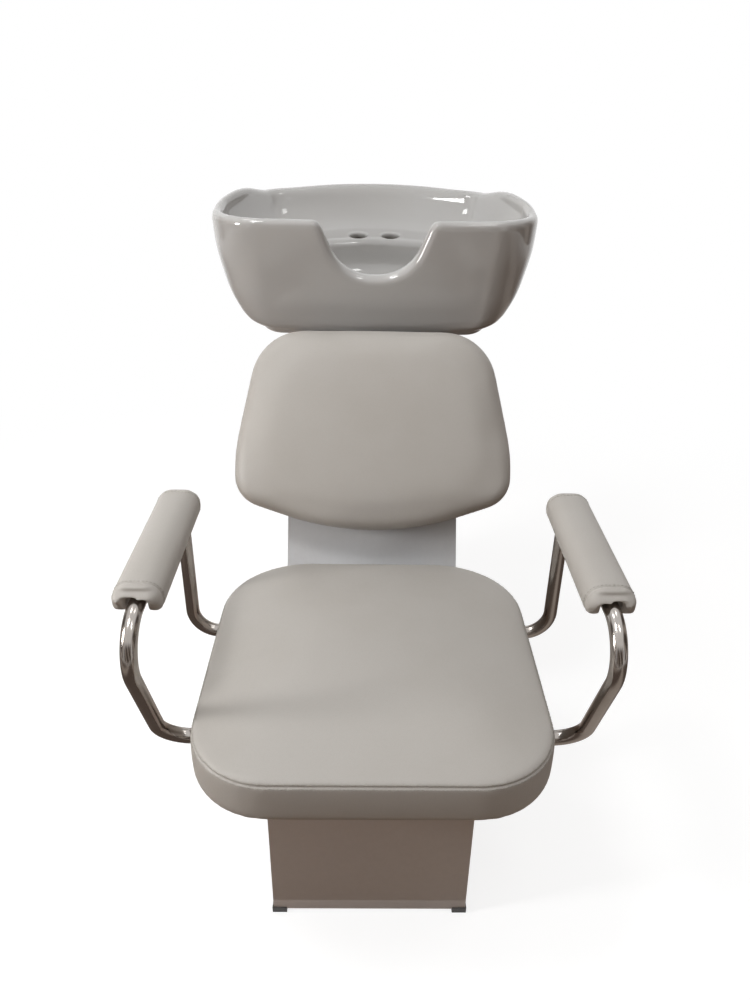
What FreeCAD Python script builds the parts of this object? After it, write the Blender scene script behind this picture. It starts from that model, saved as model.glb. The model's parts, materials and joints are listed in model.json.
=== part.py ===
import FreeCAD, Part
import math
import os

# Salon backwash chair: a folded sheet-metal stand carries a seat, two tubular
# arms, a raked backrest and a tilting ceramic basin. Units are millimetres.
# The origin is on the floor under the middle of the object, +Z is up and the
# client faces -Y. The left side in the names is the side at -X.

# Where the origin lies: the seat's front edge is this far in front of it
front_reach = 605.0

# Clearances, and how far cuts run past what they cut
overrun = 20.0
fit_gap = 0.3
running_gap = 0.05

# Stand: sheet-metal base box with a raked column
base_width = 317.6
deck_height = 359.0
column_height = 700.0
column_top_length = 306.5
column_rake = 28.8
sheet = 1.5
flange = 16.0
foot_height = 7.5
foot_size = 24.0
foot_wall = 1.8
foot_lip = 4.7
floor_plate_thickness = 3.0
floor_hole_radius = 40.0
floor_hole_from_rear = 150.0
anchor_hole_radius = 4.5
anchor_spacing_x = 220.0
anchor_end_inset = 95.0
top_plate_thickness = 5.0
hose_hole_radius = 52.0
post_size = 40.0
post_wall = 2.0
post_inset_x = 30.0
post_from_rear = 100.0
bearer_size = 30.0
bearer_wall = 3.0
cover_hole_width = 120.0
cover_hole_height = 70.0
cover_hole_radius = 15.0
cover_screw_inset_x = 9.0
cover_screw_inset_z = 45.0
cover_screw_rows = 4

# Seat
seat_width = 500.0
seat_depth = 515.0
seat_overhang = 142.0
seat_rear_gap = 23.0
seat_front_radius = 115.0
seat_rear_radius = 140.0
seat_thickness = 74.0
seat_crown_inset = 90.0
seat_board_thickness = 12.0
seat_board_inset = 14.0

# Seat rails and the screws in them
rail_size = 25.0
rail_wall = 1.2
rail_end_inset = 15.0
front_rail_back = 22.0
rear_rail_inset = 101.0
rail_bolt_x = 110.0
seat_screw_x = 60.0

# Arms
arm_tube_radius = 11.0
arm_tube_wall = 1.5
arm_from_seat = 57.0
arm_tube_height = 622.0
arm_reach_forward = 113.5
arm_top_bend = 55.0
arm_low_bend = 45.0
arm_insert = 55.0
pad_width = 68.0
pad_front_overhang = 27.0
pad_rear_overhang = 3.0
pad_below_tube = 20.0
pad_above_tube = 29.0
pad_top_radius = 31.0
pad_bottom_radius = 7.0
pad_end_round = 10.0
# Pad end: distance along and inset, both as shares of the end rounding
pad_end_shares = ((0.0, 0.42), (0.3, 0.13), (1.0, 0.0))
pad_slot_width = 28.0
pad_core_width = 40.0
pad_core_thickness = 10.0
pad_core_end_gap = 14.0
pad_screw_end_distance = 70.0

# Backrest, measured along the raked column from its foot
back_low_centre = 122.0
back_top_overhang = 102.9
back_bottom_radius = 500.0
back_top_radius = 1500.0
back_half_width = 254.0
back_stand_off = 20.0
back_thickness = 75.0
back_board_thickness = 12.0
back_board_inset = 14.0
spacer_width = 40.0
spacer_wall = 2.0
spacer_x = 85.0
spacer_low_inset = 55.0
spacer_top_inset = 125.0
spacer_bolt_end = 40.0

# Ceramic basin, in its own frame: y runs back from the front rim, z is up from it
basin_tilt = 8.0
basin_width = 612.0
basin_length = 444.0
basin_depth = 190.0
rim_height_above_column = 270.0
rim_distance_from_column = 42.0
basin_front_radius = 105.0
basin_side_radius = 200.0
bowl_side_radius = 100.0
basin_rear_radius = 55.0
basin_back_radius = 471.0
ear_height = 20.0
back_drop = 20.0
ear_foot_radius = 120.0
ear_top_radius = 90.0
ear_drop_radius = 30.0
notch_half_width = 108.0
notch_depth = 87.0
notch_bottom_half = 76.0
notch_radius = 60.0
notch_reach = 70.0
notch_shoulder_radius = 24.0
notch_shoulder_width = 34.0
notch_shoulder_rise = 3.0
tap_deck_depth = 83.0
tap_deck_front = 232.0
tap_hole_radius = 17.5
tap_hole_spacing = 68.0
tap_hole_y = 273.0
ceramic_wall = 14.0
bowl_depth = 173.0
basin_foot_half = 175.0
basin_foot_front = 82.0
basin_foot_rear = 236.0
basin_foot_radius = 40.0
basin_foot_height = 14.0
basin_foot_wall = 14.0
pocket_half = 120.0
pocket_top_rear = 388.0
pocket_low_rear = 292.0
boss_radius = 15.0
boss_x = 140.0
boss_y_inset = 34.0
boss_hole_radius = 5.0
boss_hole_depth = 20.0

# Waste fitting
drain_y = 138.0
drain_flange_radius = 33.0
drain_flange_thickness = 2.5
drain_body_radius = 22.0
drain_bore_radius = 19.0
drain_body_length = 52.0
drain_bridge = 3.0
drain_gap = 0.4
gasket_radius = 31.0
gasket_thickness = 3.0
backnut_across_flats = 55.4
backnut_thickness = 9.0
tailpiece_radius = 20.0
tailpiece_wall = 1.5
tailpiece_length = 60.0
tailpiece_overlap = 14.0
tailpiece_shoulder = 5.0
strainer_radius = 17.0
strainer_height = 9.0
strainer_wall = 1.5
strainer_holes = 8
strainer_hole_radius = 2.2
strainer_hole_circle = 10.0
strainer_knob_radius = 3.0
strainer_knob_height = 8.0

# Tilt mechanism
pivot_y = 180.0
pivot_drop = 245.0
pad_rubber_thickness = 4.0
cradle_plate_thickness = 5.0
cradle_half_width = 160.0
cradle_front = 100.0
cradle_rear = 222.0
cradle_corner = 18.0
cradle_hole_radius = 44.0
cradle_ear_x = 78.0
cradle_ear_thickness = 6.0
cradle_ear_radius = 20.0
cradle_ear_top_half = 40.0
bush_radius = 9.0
pivot_radius = 6.0
friction_radius = 20.0
friction_thickness = 3.0
yoke_ear_thickness = 6.0
yoke_ear_radius = 22.0
yoke_foot_length = 100.0
yoke_foot_width = 62.0
yoke_foot_thickness = 6.0
yoke_bolt_spacing = 60.0
yoke_bolt_from_ear = 38.0
lug_round_share = 0.98
lever_hub_radius = 15.0
lever_hub_length = 22.0
lever_arm_length = 84.0
lever_arm_width = 15.0
lever_arm_thickness = 9.0
lever_droop = 25.0
lever_knob_radius = 11.0
lever_knob_length = 34.0
lever_knob_overlap = 11.0
lever_knob_taper_share = 0.8
lever_cap_thickness = 3.0

# Fasteners: nominal radius, head radius and head height
m8_radius = 4.0
m8_across_flats = 13.0
m8_head_height = 5.3
m8_nut_height = 6.5
m12_across_flats = 19.0
m12_head_height = 7.5
m12_nut_height = 10.0
washer_radius = 8.0
washer_thickness = 1.6
screw_radius = 2.25
screw_head_radius = 4.5
screw_head_height = 2.6
arm_screw_radius = 3.0
hole_play = 0.4
screw_bite_share = 0.75
hexagon_sides = 6

# Rounding tables, chosen by hand.
# Seat and backrest rings: share of the thickness, inset as a share of the crown inset
seat_ring_shares = ((0.0, 0.11), (0.03, 0.045), (0.09, 0.012), (0.16, 0.0), (0.45, 0.022),
                    (0.70, 0.003), (0.82, 0.0), (0.86, 0.028), (0.88, 0.05), (0.915, 0.13),
                    (0.945, 0.26), (0.97, 0.45), (0.99, 0.72), (1.0, 1.0))
back_ring_shares = ((0.0, 0.14), (0.03, 0.06), (0.09, 0.015), (0.20, 0.0), (0.42, 0.012),
                    (0.56, 0.0), (0.68, 0.04), (0.77, 0.11), (0.85, 0.22), (0.905, 0.36),
                    (0.95, 0.55), (0.98, 0.77), (1.0, 1.0))
# Backrest corner heights and radii as shares of its length, widths as shares of its half width
back_corner_share = 0.157
back_side_share = 0.39
back_shoulder_share = 0.997
back_shoulder_width_share = 0.82
back_low_share = -0.066
back_corner_radius_share = 0.1946
back_side_radius_share = 0.865
back_shoulder_radius_share = 0.27
# Inset of the backrest's flat front, as a share of its smallest corner radius
back_crown_share = 0.917
# Basin outside: depth, width, front and rear as shares of the basin's own sizes
basin_outer_shares = ((0.0, 1.0, 0.0, 1.0), (0.26, 0.987, 0.005, 0.986),
                      (0.50, 0.951, 0.018, 0.945), (0.68, 0.895, 0.046, 0.886),
                      (0.84, 0.804, 0.091, 0.804), (0.95, 0.706, 0.142, 0.726),
                      (1.0, 0.601, 0.20, 0.658))
# Bowl above the tap deck: depth to the deck, then as above
bowl_upper_shares = ((0.0, 0.918, 0.057, 0.943), (0.36, 0.892, 0.066, 0.905),
                     (0.72, 0.856, 0.078, 0.836), (1.0, 0.817, 0.087, 0.735))
# Bowl below the tap deck: depth from the deck to the floor, then as above
bowl_lower_shares = ((0.0, 0.815, 0.088, 0.530), (0.33, 0.770, 0.102, 0.516),
                     (0.66, 0.680, 0.134, 0.489), (0.88, 0.562, 0.178, 0.447),
                     (0.97, 0.425, 0.228, 0.402), (1.0, 0.261, 0.274, 0.356))
# Basin plan: where the side corner and rear corner lie
basin_side_share = 0.34
basin_rear_width_share = 0.778
basin_rear_share = 0.872
basin_apex_share = 1.0734
# Rim line seen from the side, as shares of the basin's length
ear_start_share = 0.17
ear_front_share = 0.335
ear_back_share = 0.60
ear_end_share = 0.77

# Derived places
half_base = base_width / 2
rake = math.radians(column_rake)
tilt = math.radians(basin_tilt)
seat_front_y = -front_reach
seat_rear_y = seat_front_y + seat_depth
base_front_y = seat_front_y + seat_overhang
rake_foot_y = seat_rear_y + seat_rear_gap
column_top_y = rake_foot_y + (column_height - deck_height) * math.tan(rake)
base_rear_y = column_top_y + column_top_length
rail_length = seat_width - 2 * rail_end_inset
arm_plane_x = seat_width / 2 + arm_from_seat
seat_bottom_z = deck_height + rail_size
rail_z = deck_height + rail_size / 2
front_rail_y = base_front_y + front_rail_back
rear_rail_y = seat_rear_y - rear_rail_inset
pad_front_y = front_rail_y - pad_front_overhang
pad_rear_y = rear_rail_y + pad_rear_overhang
back_length = (column_height - deck_height) / math.cos(rake) + back_top_overhang - back_low_centre
back_crown_inset = back_crown_share * back_corner_radius_share * back_length
spacer_length = back_length - spacer_low_inset - spacer_top_inset
basin_front_y = column_top_y + rim_distance_from_column
basin_rim_height = column_height + rim_height_above_column
frame_top_z = column_height - top_plate_thickness
under_bearer_z = deck_height - 2 * sheet - bearer_wall
drain_top_z = -bowl_depth
drain_seat_z = drain_top_z - drain_flange_thickness
drain_under_z = drain_top_z - ceramic_wall


def vec(x, y, z):
    return FreeCAD.Vector(x, y, z)


def box(x_low, x_high, y_low, y_high, z_low, z_high):
    """Upright box between two corners."""
    return Part.makeBox(x_high - x_low, y_high - y_low, z_high - z_low, vec(x_low, y_low, z_low))


def rod(radius, start, end):
    """Round bar between two points."""
    run = end - start
    return Part.makeCylinder(radius, run.Length, start, run)


def mirrored(shape):
    """The same piece on the other side of the middle plane."""
    return shape.mirror(vec(0, 0, 0), vec(1, 0, 0))


def group(solids):
    """Separate solids kept in one node."""
    return Part.makeCompound(solids)


def hexagon(across_flats, start, end):
    """Six-sided bar between two points, for bolt heads and nuts."""
    run = end - start
    corner = across_flats / math.sqrt(3)
    angles = [2 * math.pi * step / hexagon_sides for step in range(hexagon_sides)]
    points = [vec(corner * math.cos(angle), corner * math.sin(angle), 0) for angle in angles]
    bar = Part.Face(Part.makePolygon(points + [points[0]])).extrude(vec(0, 0, run.Length))
    turn = FreeCAD.Rotation(vec(0, 0, 1), run)
    bar.Placement = FreeCAD.Placement(start, turn)
    return bar


def rounded_wire(corners, lift):
    """Closed outline of straight lines and tangent arcs.

    Each corner is (a, b, radius), and lift turns (a, b) into a point in space.
    """
    starts = []
    middles = []
    ends = []
    count = len(corners)
    for index, (a, b, radius) in enumerate(corners):
        last = corners[index - 1]
        following = corners[(index + 1) % count]
        here = vec(a, b, 0)
        before = vec(last[0], last[1], 0)
        after = vec(following[0], following[1], 0)
        back = (before - here).normalize()
        ahead = (after - here).normalize()
        half_angle = back.getAngle(ahead) / 2
        setback = radius / math.tan(half_angle)
        middle = (back + ahead).normalize() * (radius / math.sin(half_angle) - radius)
        starts.append(here + back * setback)
        middles.append(here + middle)
        ends.append(here + ahead * setback)
    edges = []
    for index in range(count):
        start, middle, end = [lift(point.x, point.y)
                              for point in (starts[index], middles[index], ends[index])]
        following = starts[(index + 1) % count]
        if corners[index][2] > 0:
            edges.append(Part.Arc(start, middle, end).toShape())
        edges.append(Part.makeLine(end, lift(following.x, following.y)))
    return Part.Wire(edges)


def inset_corners(corners, inset):
    """The same convex outline, moved inwards by inset on every side."""
    moved = []
    count = len(corners)
    for index, (a, b, radius) in enumerate(corners):
        before = corners[index - 1]
        after = corners[(index + 1) % count]
        first = vec(a - before[0], b - before[1], 0).normalize()
        second = vec(after[0] - a, after[1] - b, 0).normalize()
        normal_one = vec(-first.y, first.x, 0)
        normal_two = vec(-second.y, second.x, 0)
        both = normal_one + normal_two
        shift = both * (2 * inset / both.dot(both))
        moved.append((a + shift.x, b + shift.y, radius - inset))
    return moved


def both_sides(right_corners, low_centre, high_centre):
    """Counter-clockwise outline from its right-hand corners, listed from low to high."""
    left_corners = [(-a, b, radius) for a, b, radius in reversed(right_corners)]
    return [low_centre] + right_corners + [high_centre] + left_corners


def prism(corners, lift, direction):
    """Outline pushed along a direction."""
    return Part.Face(rounded_wire(corners, lift)).extrude(direction)


def loft(wires):
    """Smooth body through the outlines."""
    return Part.makeLoft(wires, True, False)


def stepped_loft(wires):
    """Body with straight sides between neighbouring outlines."""
    return Part.makeLoft(wires, True, True)


def raked(shape):
    """Moves a shape from backrest axes (x across, y up the rake, z off the panel)."""
    turn = FreeCAD.Rotation(vec(1, 0, 0), 90 - column_rake)
    shape.Placement = FreeCAD.Placement(vec(0, rake_foot_y, deck_height), turn)
    return shape


def tilted(shape):
    """Moves a shape from the basin's own axes to its place on the stand."""
    turn = FreeCAD.Rotation(vec(1, 0, 0), basin_tilt)
    shape.Placement = FreeCAD.Placement(vec(0, basin_front_y, basin_rim_height), turn)
    return shape


def save(node, shape):
    """Writes one node and prints its volume and whether it is sound."""
    shape.exportStep("parts/" + node + ".step")
    print(node, len(shape.Solids), round(shape.Volume / 1000, 1), shape.isValid())


# Stand

def rake_y(height, inset):
    """Front of the raked column at a height, moved in from its face by inset."""
    return rake_foot_y + (height - deck_height) * math.tan(rake) + inset / math.cos(rake)


def side_outline(inset, top_z):
    """Side view of the stand, inset behind the sheets that cover its edges."""
    return [(base_front_y + inset, foot_height, 0),
            (base_rear_y - inset, foot_height, 0),
            (base_rear_y - inset, top_z, 0),
            (rake_y(top_z, inset), top_z, 0),
            (rake_y(deck_height - inset, inset), deck_height - inset, 0),
            (base_front_y + inset, deck_height - inset, 0)]


def side_panel():
    """Right side: a flat sheet with flanges turned inwards all round."""
    def lift(y, z):
        return vec(half_base, y, z)
    outside = Part.Face(rounded_wire(side_outline(sheet, frame_top_z), lift))
    tray = outside.extrude(vec(-flange, 0, 0))
    inside = outside.makeOffset2D(-sheet).extrude(vec(-flange, 0, 0))
    inside.translate(vec(-sheet, 0, 0))
    return tray.cut(inside)


def front_panel():
    return box(-half_base, half_base, base_front_y, base_front_y + sheet, foot_height, deck_height)


def seat_deck():
    """Flat deck under the seat, with holes for the rail bolts and the seat screws."""
    deck_rear_y = rake_y(deck_height, 0)
    deck = box(-half_base, half_base, base_front_y + sheet, deck_rear_y,
               deck_height - sheet, deck_height)
    for places, radius in ((rail_bolt_places(), m8_radius), (seat_screw_places(), screw_radius)):
        for x, y in places:
            hole = rod(radius + hole_play, vec(x, y, deck_height - overrun),
                       vec(x, y, deck_height + overrun))
            deck = deck.cut(hole)
    return deck


def back_panel():
    """Raked sheet that faces the client's back, with holes for the backrest bolts."""
    length = (column_height - deck_height) / math.cos(rake)
    panel = box(-half_base, half_base, 0, length + overrun, -sheet, 0)
    for x, along in spacer_bolt_places():
        hole = rod(m8_radius + hole_play, vec(x, along, -overrun), vec(x, along, overrun))
        panel = panel.cut(hole)
    panel = raked(panel)
    keep = box(-base_width, base_width, base_front_y, base_rear_y, deck_height, column_height)
    return panel.common(keep)


def top_plate():
    """Thick plate on top of the column, which carries the basin brackets."""
    front_y = rake_y(column_height, sheet)
    plate = box(-half_base, half_base, front_y, base_rear_y, frame_top_z, column_height)
    hole_y = waste_axis_y(column_height)
    hose_hole = rod(hose_hole_radius, vec(0, hole_y, frame_top_z - overrun),
                    vec(0, hole_y, column_height + overrun))
    plate = plate.cut(hose_hole)
    wedge = box(-base_width, base_width, -sheet, column_height, -column_height, -sheet)
    plate = plate.common(raked(wedge))
    for x, y in yoke_bolt_places():
        for side in (-1, 1):
            hole = rod(m8_radius + hole_play, vec(side * x, y, frame_top_z - overrun),
                       vec(side * x, y, column_height + overrun))
            plate = plate.cut(hole)
    return plate


def rear_cover():
    """Removable access cover, with a notch at the bottom for the water hoses."""
    cover = box(-half_base, half_base, base_rear_y - sheet, base_rear_y, foot_height, frame_top_z)
    corners = [(-cover_hole_width / 2, foot_height - overrun, 0),
               (cover_hole_width / 2, foot_height - overrun, 0),
               (cover_hole_width / 2, foot_height + cover_hole_height, cover_hole_radius),
               (-cover_hole_width / 2, foot_height + cover_hole_height, cover_hole_radius)]
    notch = prism(corners, lambda x, z: vec(x, base_rear_y - overrun, z), vec(0, 2 * overrun, 0))
    cover = cover.cut(notch)
    for x, z in cover_screw_places():
        hole = rod(screw_radius + hole_play, vec(x, base_rear_y - overrun, z),
                   vec(x, base_rear_y + overrun, z))
        cover = cover.cut(hole)
    return cover


def cover_screw_places():
    low = foot_height + cover_screw_inset_z
    high = frame_top_z - cover_screw_inset_z
    step = (high - low) / (cover_screw_rows - 1)
    x = half_base - cover_screw_inset_x
    return [(side * x, low + row * step) for side in (-1, 1) for row in range(cover_screw_rows)]


def cover_screws():
    screws = []
    for x, z in cover_screw_places():
        head = rod(screw_head_radius, vec(x, base_rear_y, z), vec(x, base_rear_y + screw_head_height, z))
        shank = rod(screw_radius, vec(x, base_rear_y - flange / 2, z), vec(x, base_rear_y, z))
        screws.append(head.fuse(shank))
    return group(screws)


def drill_side_panel(panel):
    """Holes in the rear flange for the cover screws."""
    for x, z in cover_screw_places():
        if x > 0:
            hole = rod(screw_radius + hole_play, vec(x, base_rear_y - flange, z), vec(x, base_rear_y, z))
            panel = panel.cut(hole)
    return panel


def floor_plate():
    """Bottom plate with the anchor holes and the hole for the hoses."""
    edge_x = half_base - sheet - fit_gap
    low = foot_height + sheet
    plate = box(-edge_x, edge_x, base_front_y + 2 * sheet + fit_gap,
                base_rear_y - 2 * sheet - fit_gap, low, low + floor_plate_thickness)
    for x, y in anchor_places():
        hole = rod(anchor_hole_radius, vec(x, y, 0), vec(x, y, low + overrun))
        plate = plate.cut(hole)
    hose_y = base_rear_y - floor_hole_from_rear
    return plate.cut(rod(floor_hole_radius, vec(0, hose_y, 0), vec(0, hose_y, low + overrun)))


def anchor_places():
    front_y = base_front_y + anchor_end_inset
    rear_y = base_rear_y - anchor_end_inset
    return [(side * anchor_spacing_x / 2, y) for side in (-1, 1) for y in (front_y, rear_y)]


def column_posts():
    """Two square tubes that take the basin's weight down to the floor plate."""
    low = foot_height + sheet + floor_plate_thickness
    outer_x = half_base - post_inset_x
    rear = base_rear_y - post_from_rear
    tube = box(outer_x - post_size, outer_x, rear - post_size, rear, low, frame_top_z)
    bore = box(outer_x - post_size + post_wall, outer_x - post_wall,
               rear - post_size + post_wall, rear - post_wall, low - overrun, column_height)
    post = tube.cut(bore)
    return group([post, mirrored(post)])


def deck_bearers():
    """Angle bars under the deck, below the seat rails."""
    bearers = []
    edge_x = half_base - sheet - fit_gap
    high = deck_height - sheet
    for y in (front_rail_y, rear_rail_y):
        front = max(y - bearer_size / 2, base_front_y + 2 * sheet + fit_gap)
        top = box(-edge_x, edge_x, front, front + bearer_size, high - sheet - bearer_wall, high - sheet)
        seat = box(-edge_x + flange, edge_x - flange, front, front + bearer_size, high - sheet, high)
        web = box(-edge_x, edge_x, front + bearer_size - bearer_wall, front + bearer_size,
                  high - sheet - bearer_size, high - sheet)
        bearer = top.fuse(web).fuse(seat)
        for x, radius in ((rail_bolt_x, m8_radius), (seat_screw_x, screw_radius)):
            for side in (-1, 1):
                bearer = bearer.cut(rod(radius + hole_play, vec(side * x, y, high - bearer_size),
                                        vec(side * x, y, high + overrun)))
        bearers.append(bearer)
    return group(bearers)


def corner_feet():
    """Plastic corner shoes that the stand rests on."""
    inner_x = half_base + foot_wall - foot_size
    feet = []
    for side in (-1, 1):
        for end_y, inward in ((base_front_y, 1), (base_rear_y, -1)):
            outer_y = end_y - inward * foot_wall
            far_y = outer_y + inward * foot_size
            shoe = box(inner_x, half_base + foot_wall, min(outer_y, far_y), max(outer_y, far_y),
                       0, foot_height + foot_lip)
            stand = box(0, half_base + fit_gap, min(end_y - inward * fit_gap, far_y + inward * overrun),
                        max(end_y - inward * fit_gap, far_y + inward * overrun),
                        foot_height, foot_height + 2 * foot_lip)
            foot = shoe.cut(stand)
            feet.append(foot if side > 0 else mirrored(foot))
    return group(feet)


# Seat

def rail_bolt_places():
    return [(x, y) for y in (front_rail_y, rear_rail_y) for x in (-rail_bolt_x, rail_bolt_x)]


def seat_screw_places():
    return [(x, y) for y in (front_rail_y, rear_rail_y) for x in (-seat_screw_x, seat_screw_x)]


def arm_screw_places():
    x = rail_length / 2 - arm_insert / 2
    return [(side * x, y) for y in (front_rail_y, rear_rail_y) for side in (-1, 1)]


def cross_rail(y):
    """Square tube across the deck; the arm tubes plug into its ends."""
    half = rail_size / 2
    tube = box(-rail_length / 2, rail_length / 2, y - half, y + half, deck_height, seat_bottom_z)
    bore = box(-rail_length, rail_length, y - half + rail_wall, y + half - rail_wall,
               deck_height + rail_wall, seat_bottom_z - rail_wall)
    rail = tube.cut(bore)
    for x, place_y in rail_bolt_places():
        if place_y == y:
            rail = rail.cut(rod(m8_radius + hole_play, vec(x, y, 0), vec(x, y, column_height)))
    for x, place_y in seat_screw_places():
        if place_y == y:
            rail = rail.cut(rod(screw_radius + hole_play, vec(x, y, 0), vec(x, y, column_height)))
    for x, place_y in arm_screw_places():
        if place_y == y:
            rail = rail.cut(rod(arm_screw_radius + hole_play, vec(x, y, 0), vec(x, y, rail_z)))
    return rail


def rail_bolts():
    """Hexagon bolts with washers and nuts: rail, deck and bearer in one stack."""
    bolts = []
    for x, y in rail_bolt_places():
        head = hexagon(m8_across_flats, vec(x, y, seat_bottom_z), vec(x, y, seat_bottom_z + m8_head_height))
        nut_top = under_bearer_z - washer_thickness
        nut_low = nut_top - m8_nut_height
        shank = rod(m8_radius, vec(x, y, nut_low - m8_radius / 2), vec(x, y, seat_bottom_z))
        washer = rod(washer_radius, vec(x, y, nut_top), vec(x, y, under_bearer_z))
        nut = hexagon(m8_across_flats, vec(x, y, nut_low), vec(x, y, nut_top))
        bolts.append(head.fuse(shank).fuse(washer).fuse(nut))
    return group(bolts)


def seat_corners():
    """Plan of the seat: parallel sides, rounded front, rounder rear."""
    half = seat_width / 2
    return [(half, seat_front_y, seat_front_radius), (half, seat_rear_y, seat_rear_radius),
            (-half, seat_rear_y, seat_rear_radius), (-half, seat_front_y, seat_front_radius)]


def seat_board():
    """Plywood board under the foam, with clearance holes over the bolt heads."""
    corners = inset_corners(seat_corners(), seat_board_inset)
    board = prism(corners, lambda x, y: vec(x, y, seat_bottom_z), vec(0, 0, seat_board_thickness))
    for x, y in rail_bolt_places():
        recess = rod(m8_across_flats, vec(x, y, seat_bottom_z - overrun),
                     vec(x, y, seat_bottom_z + m8_head_height + fit_gap))
        board = board.cut(recess)
    for x, y in seat_screw_places():
        pilot = rod(screw_radius, vec(x, y, seat_bottom_z),
                    vec(x, y, seat_bottom_z + seat_board_thickness * screw_bite_share))
        board = board.cut(pilot)
    return board


def seat_cushion():
    """Padded seat: drawn-in sides under a seam, with a crowned top."""
    rings = []
    for height_share, inset_share in seat_ring_shares:
        z = seat_bottom_z + height_share * seat_thickness
        corners = inset_corners(seat_corners(), inset_share * seat_crown_inset)
        rings.append(rounded_wire(corners, lambda x, y, z=z: vec(x, y, z)))
    cushion = stepped_loft(rings)
    pocket = inset_corners(seat_corners(), seat_board_inset - fit_gap)
    recess = prism(pocket, lambda x, y: vec(x, y, seat_bottom_z - overrun),
                   vec(0, 0, overrun + seat_board_thickness))
    return cushion.cut(recess)


def seat_screws():
    """Wood screws up through bearers, deck and rails into the seat board."""
    screws = []
    for x, y in seat_screw_places():
        head = rod(screw_head_radius, vec(x, y, under_bearer_z - screw_head_height),
                   vec(x, y, under_bearer_z))
        tip_z = seat_bottom_z + seat_board_thickness * screw_bite_share
        shank = rod(screw_radius, vec(x, y, under_bearer_z), vec(x, y, tip_z))
        screws.append(head.fuse(shank))
    return group(screws)


# Arms

def bent_path(corners):
    """Centre line of a bent tube: straight runs joined by tangent arcs."""
    edges = []
    last = corners[0][0]
    for index in range(1, len(corners) - 1):
        here, radius = corners[index]
        back = (corners[index - 1][0] - here).normalize()
        ahead = (corners[index + 1][0] - here).normalize()
        half_angle = back.getAngle(ahead) / 2
        start = here + back * (radius / math.tan(half_angle))
        end = here + ahead * (radius / math.tan(half_angle))
        middle = here + (back + ahead).normalize() * (radius / math.sin(half_angle) - radius)
        edges.append(Part.makeLine(last, start))
        edges.append(Part.Arc(start, middle, end).toShape())
        last = end
    edges.append(Part.makeLine(last, corners[-1][0]))
    return Part.Wire(edges)


def arm_corners(extra):
    """Right arm: out of the front rail, up in a forward bow, along the pad and down."""
    inner_x = rail_length / 2 - arm_insert - extra
    return [(vec(inner_x, front_rail_y, rail_z), 0),
            (vec(arm_plane_x, front_rail_y, rail_z), arm_low_bend),
            (vec(arm_plane_x, front_rail_y - arm_reach_forward, arm_tube_height), arm_top_bend),
            (vec(arm_plane_x, rear_rail_y, arm_tube_height), arm_low_bend),
            (vec(arm_plane_x, rear_rail_y, rail_z), arm_low_bend),
            (vec(inner_x, rear_rail_y, rail_z), 0)]


def swept(corners, radius):
    start = corners[0][0]
    heading = (corners[1][0] - start).normalize()
    ring = Part.Wire(Part.makeCircle(radius, start, heading))
    return bent_path(corners).makePipeShell([ring], True, False)


def arm_tube():
    """Bent steel tube, open at both ends inside the rails."""
    bore = swept(arm_corners(overrun), arm_tube_radius - arm_tube_wall)
    tube = swept(arm_corners(0), arm_tube_radius).cut(bore)
    for x, y in arm_screw_places():
        if x > 0:
            tube = tube.cut(rod(arm_screw_radius + hole_play, vec(x, y, deck_height), vec(x, y, rail_z)))
    for y in pad_screw_places():
        tube = tube.cut(rod(screw_radius + hole_play, vec(arm_plane_x, y, arm_tube_height - overrun),
                            vec(arm_plane_x, y, arm_tube_height + overrun)))
    return tube


def arm_screws():
    """Clamp screws from under the rails into the arm tubes."""
    screws = []
    for x, y in arm_screw_places():
        head = rod(washer_radius, vec(x, y, deck_height - screw_head_height), vec(x, y, deck_height))
        tip_z = rail_z - arm_tube_radius + 2 * arm_tube_wall
        shank = rod(arm_screw_radius, vec(x, y, deck_height), vec(x, y, tip_z))
        screws.append(head.fuse(shank))
    return group(screws)


def pad_screw_places():
    return [pad_front_y + pad_screw_end_distance, pad_rear_y - pad_screw_end_distance]


def pad_core():
    """Stiff strip in the pad, lying on the arm tube."""
    low = arm_tube_height + arm_tube_radius + fit_gap
    core = box(arm_plane_x - pad_core_width / 2, arm_plane_x + pad_core_width / 2,
               pad_front_y + pad_core_end_gap, pad_rear_y - pad_core_end_gap,
               low, low + pad_core_thickness)
    for y in pad_screw_places():
        core = core.cut(rod(screw_radius, vec(arm_plane_x, y, low),
                            vec(arm_plane_x, y, low + pad_core_thickness * screw_bite_share)))
    return core


def arm_pad():
    """Padded rest with a rounded top, rounded ends and a slot for the tube."""
    low = arm_tube_height - pad_below_tube
    high = arm_tube_height + pad_above_tube
    half = pad_width / 2
    corners = [(half, low, pad_bottom_radius), (half, high, pad_top_radius),
               (-half, high, pad_top_radius), (-half, low, pad_bottom_radius)]
    rings = []
    for along_share, inset_share in pad_end_shares:
        rings.append((pad_front_y + along_share * pad_end_round, inset_share * pad_end_round))
    rear = [(pad_front_y + pad_rear_y - y, inset) for y, inset in reversed(rings)]
    wires = [rounded_wire(inset_corners(corners, inset), lambda x, z, y=y: vec(arm_plane_x + x, y, z))
             for y, inset in rings + rear]
    front_end = loft(wires[:3])
    rear_end = loft(wires[3:])
    middle = loft(wires[2:4])
    pad = front_end.fuse(middle).fuse(rear_end).removeSplitter()
    core_low = arm_tube_height + arm_tube_radius + fit_gap
    slot = box(arm_plane_x - pad_slot_width / 2, arm_plane_x + pad_slot_width / 2,
               pad_front_y - overrun, pad_rear_y + overrun, low - overrun, core_low)
    pocket = box(arm_plane_x - pad_core_width / 2 - fit_gap, arm_plane_x + pad_core_width / 2 + fit_gap,
                 pad_front_y + pad_core_end_gap - fit_gap,
                 pad_rear_y - pad_core_end_gap + fit_gap,
                 core_low - fit_gap, core_low + pad_core_thickness)
    return pad.cut(slot).cut(pocket)


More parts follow.
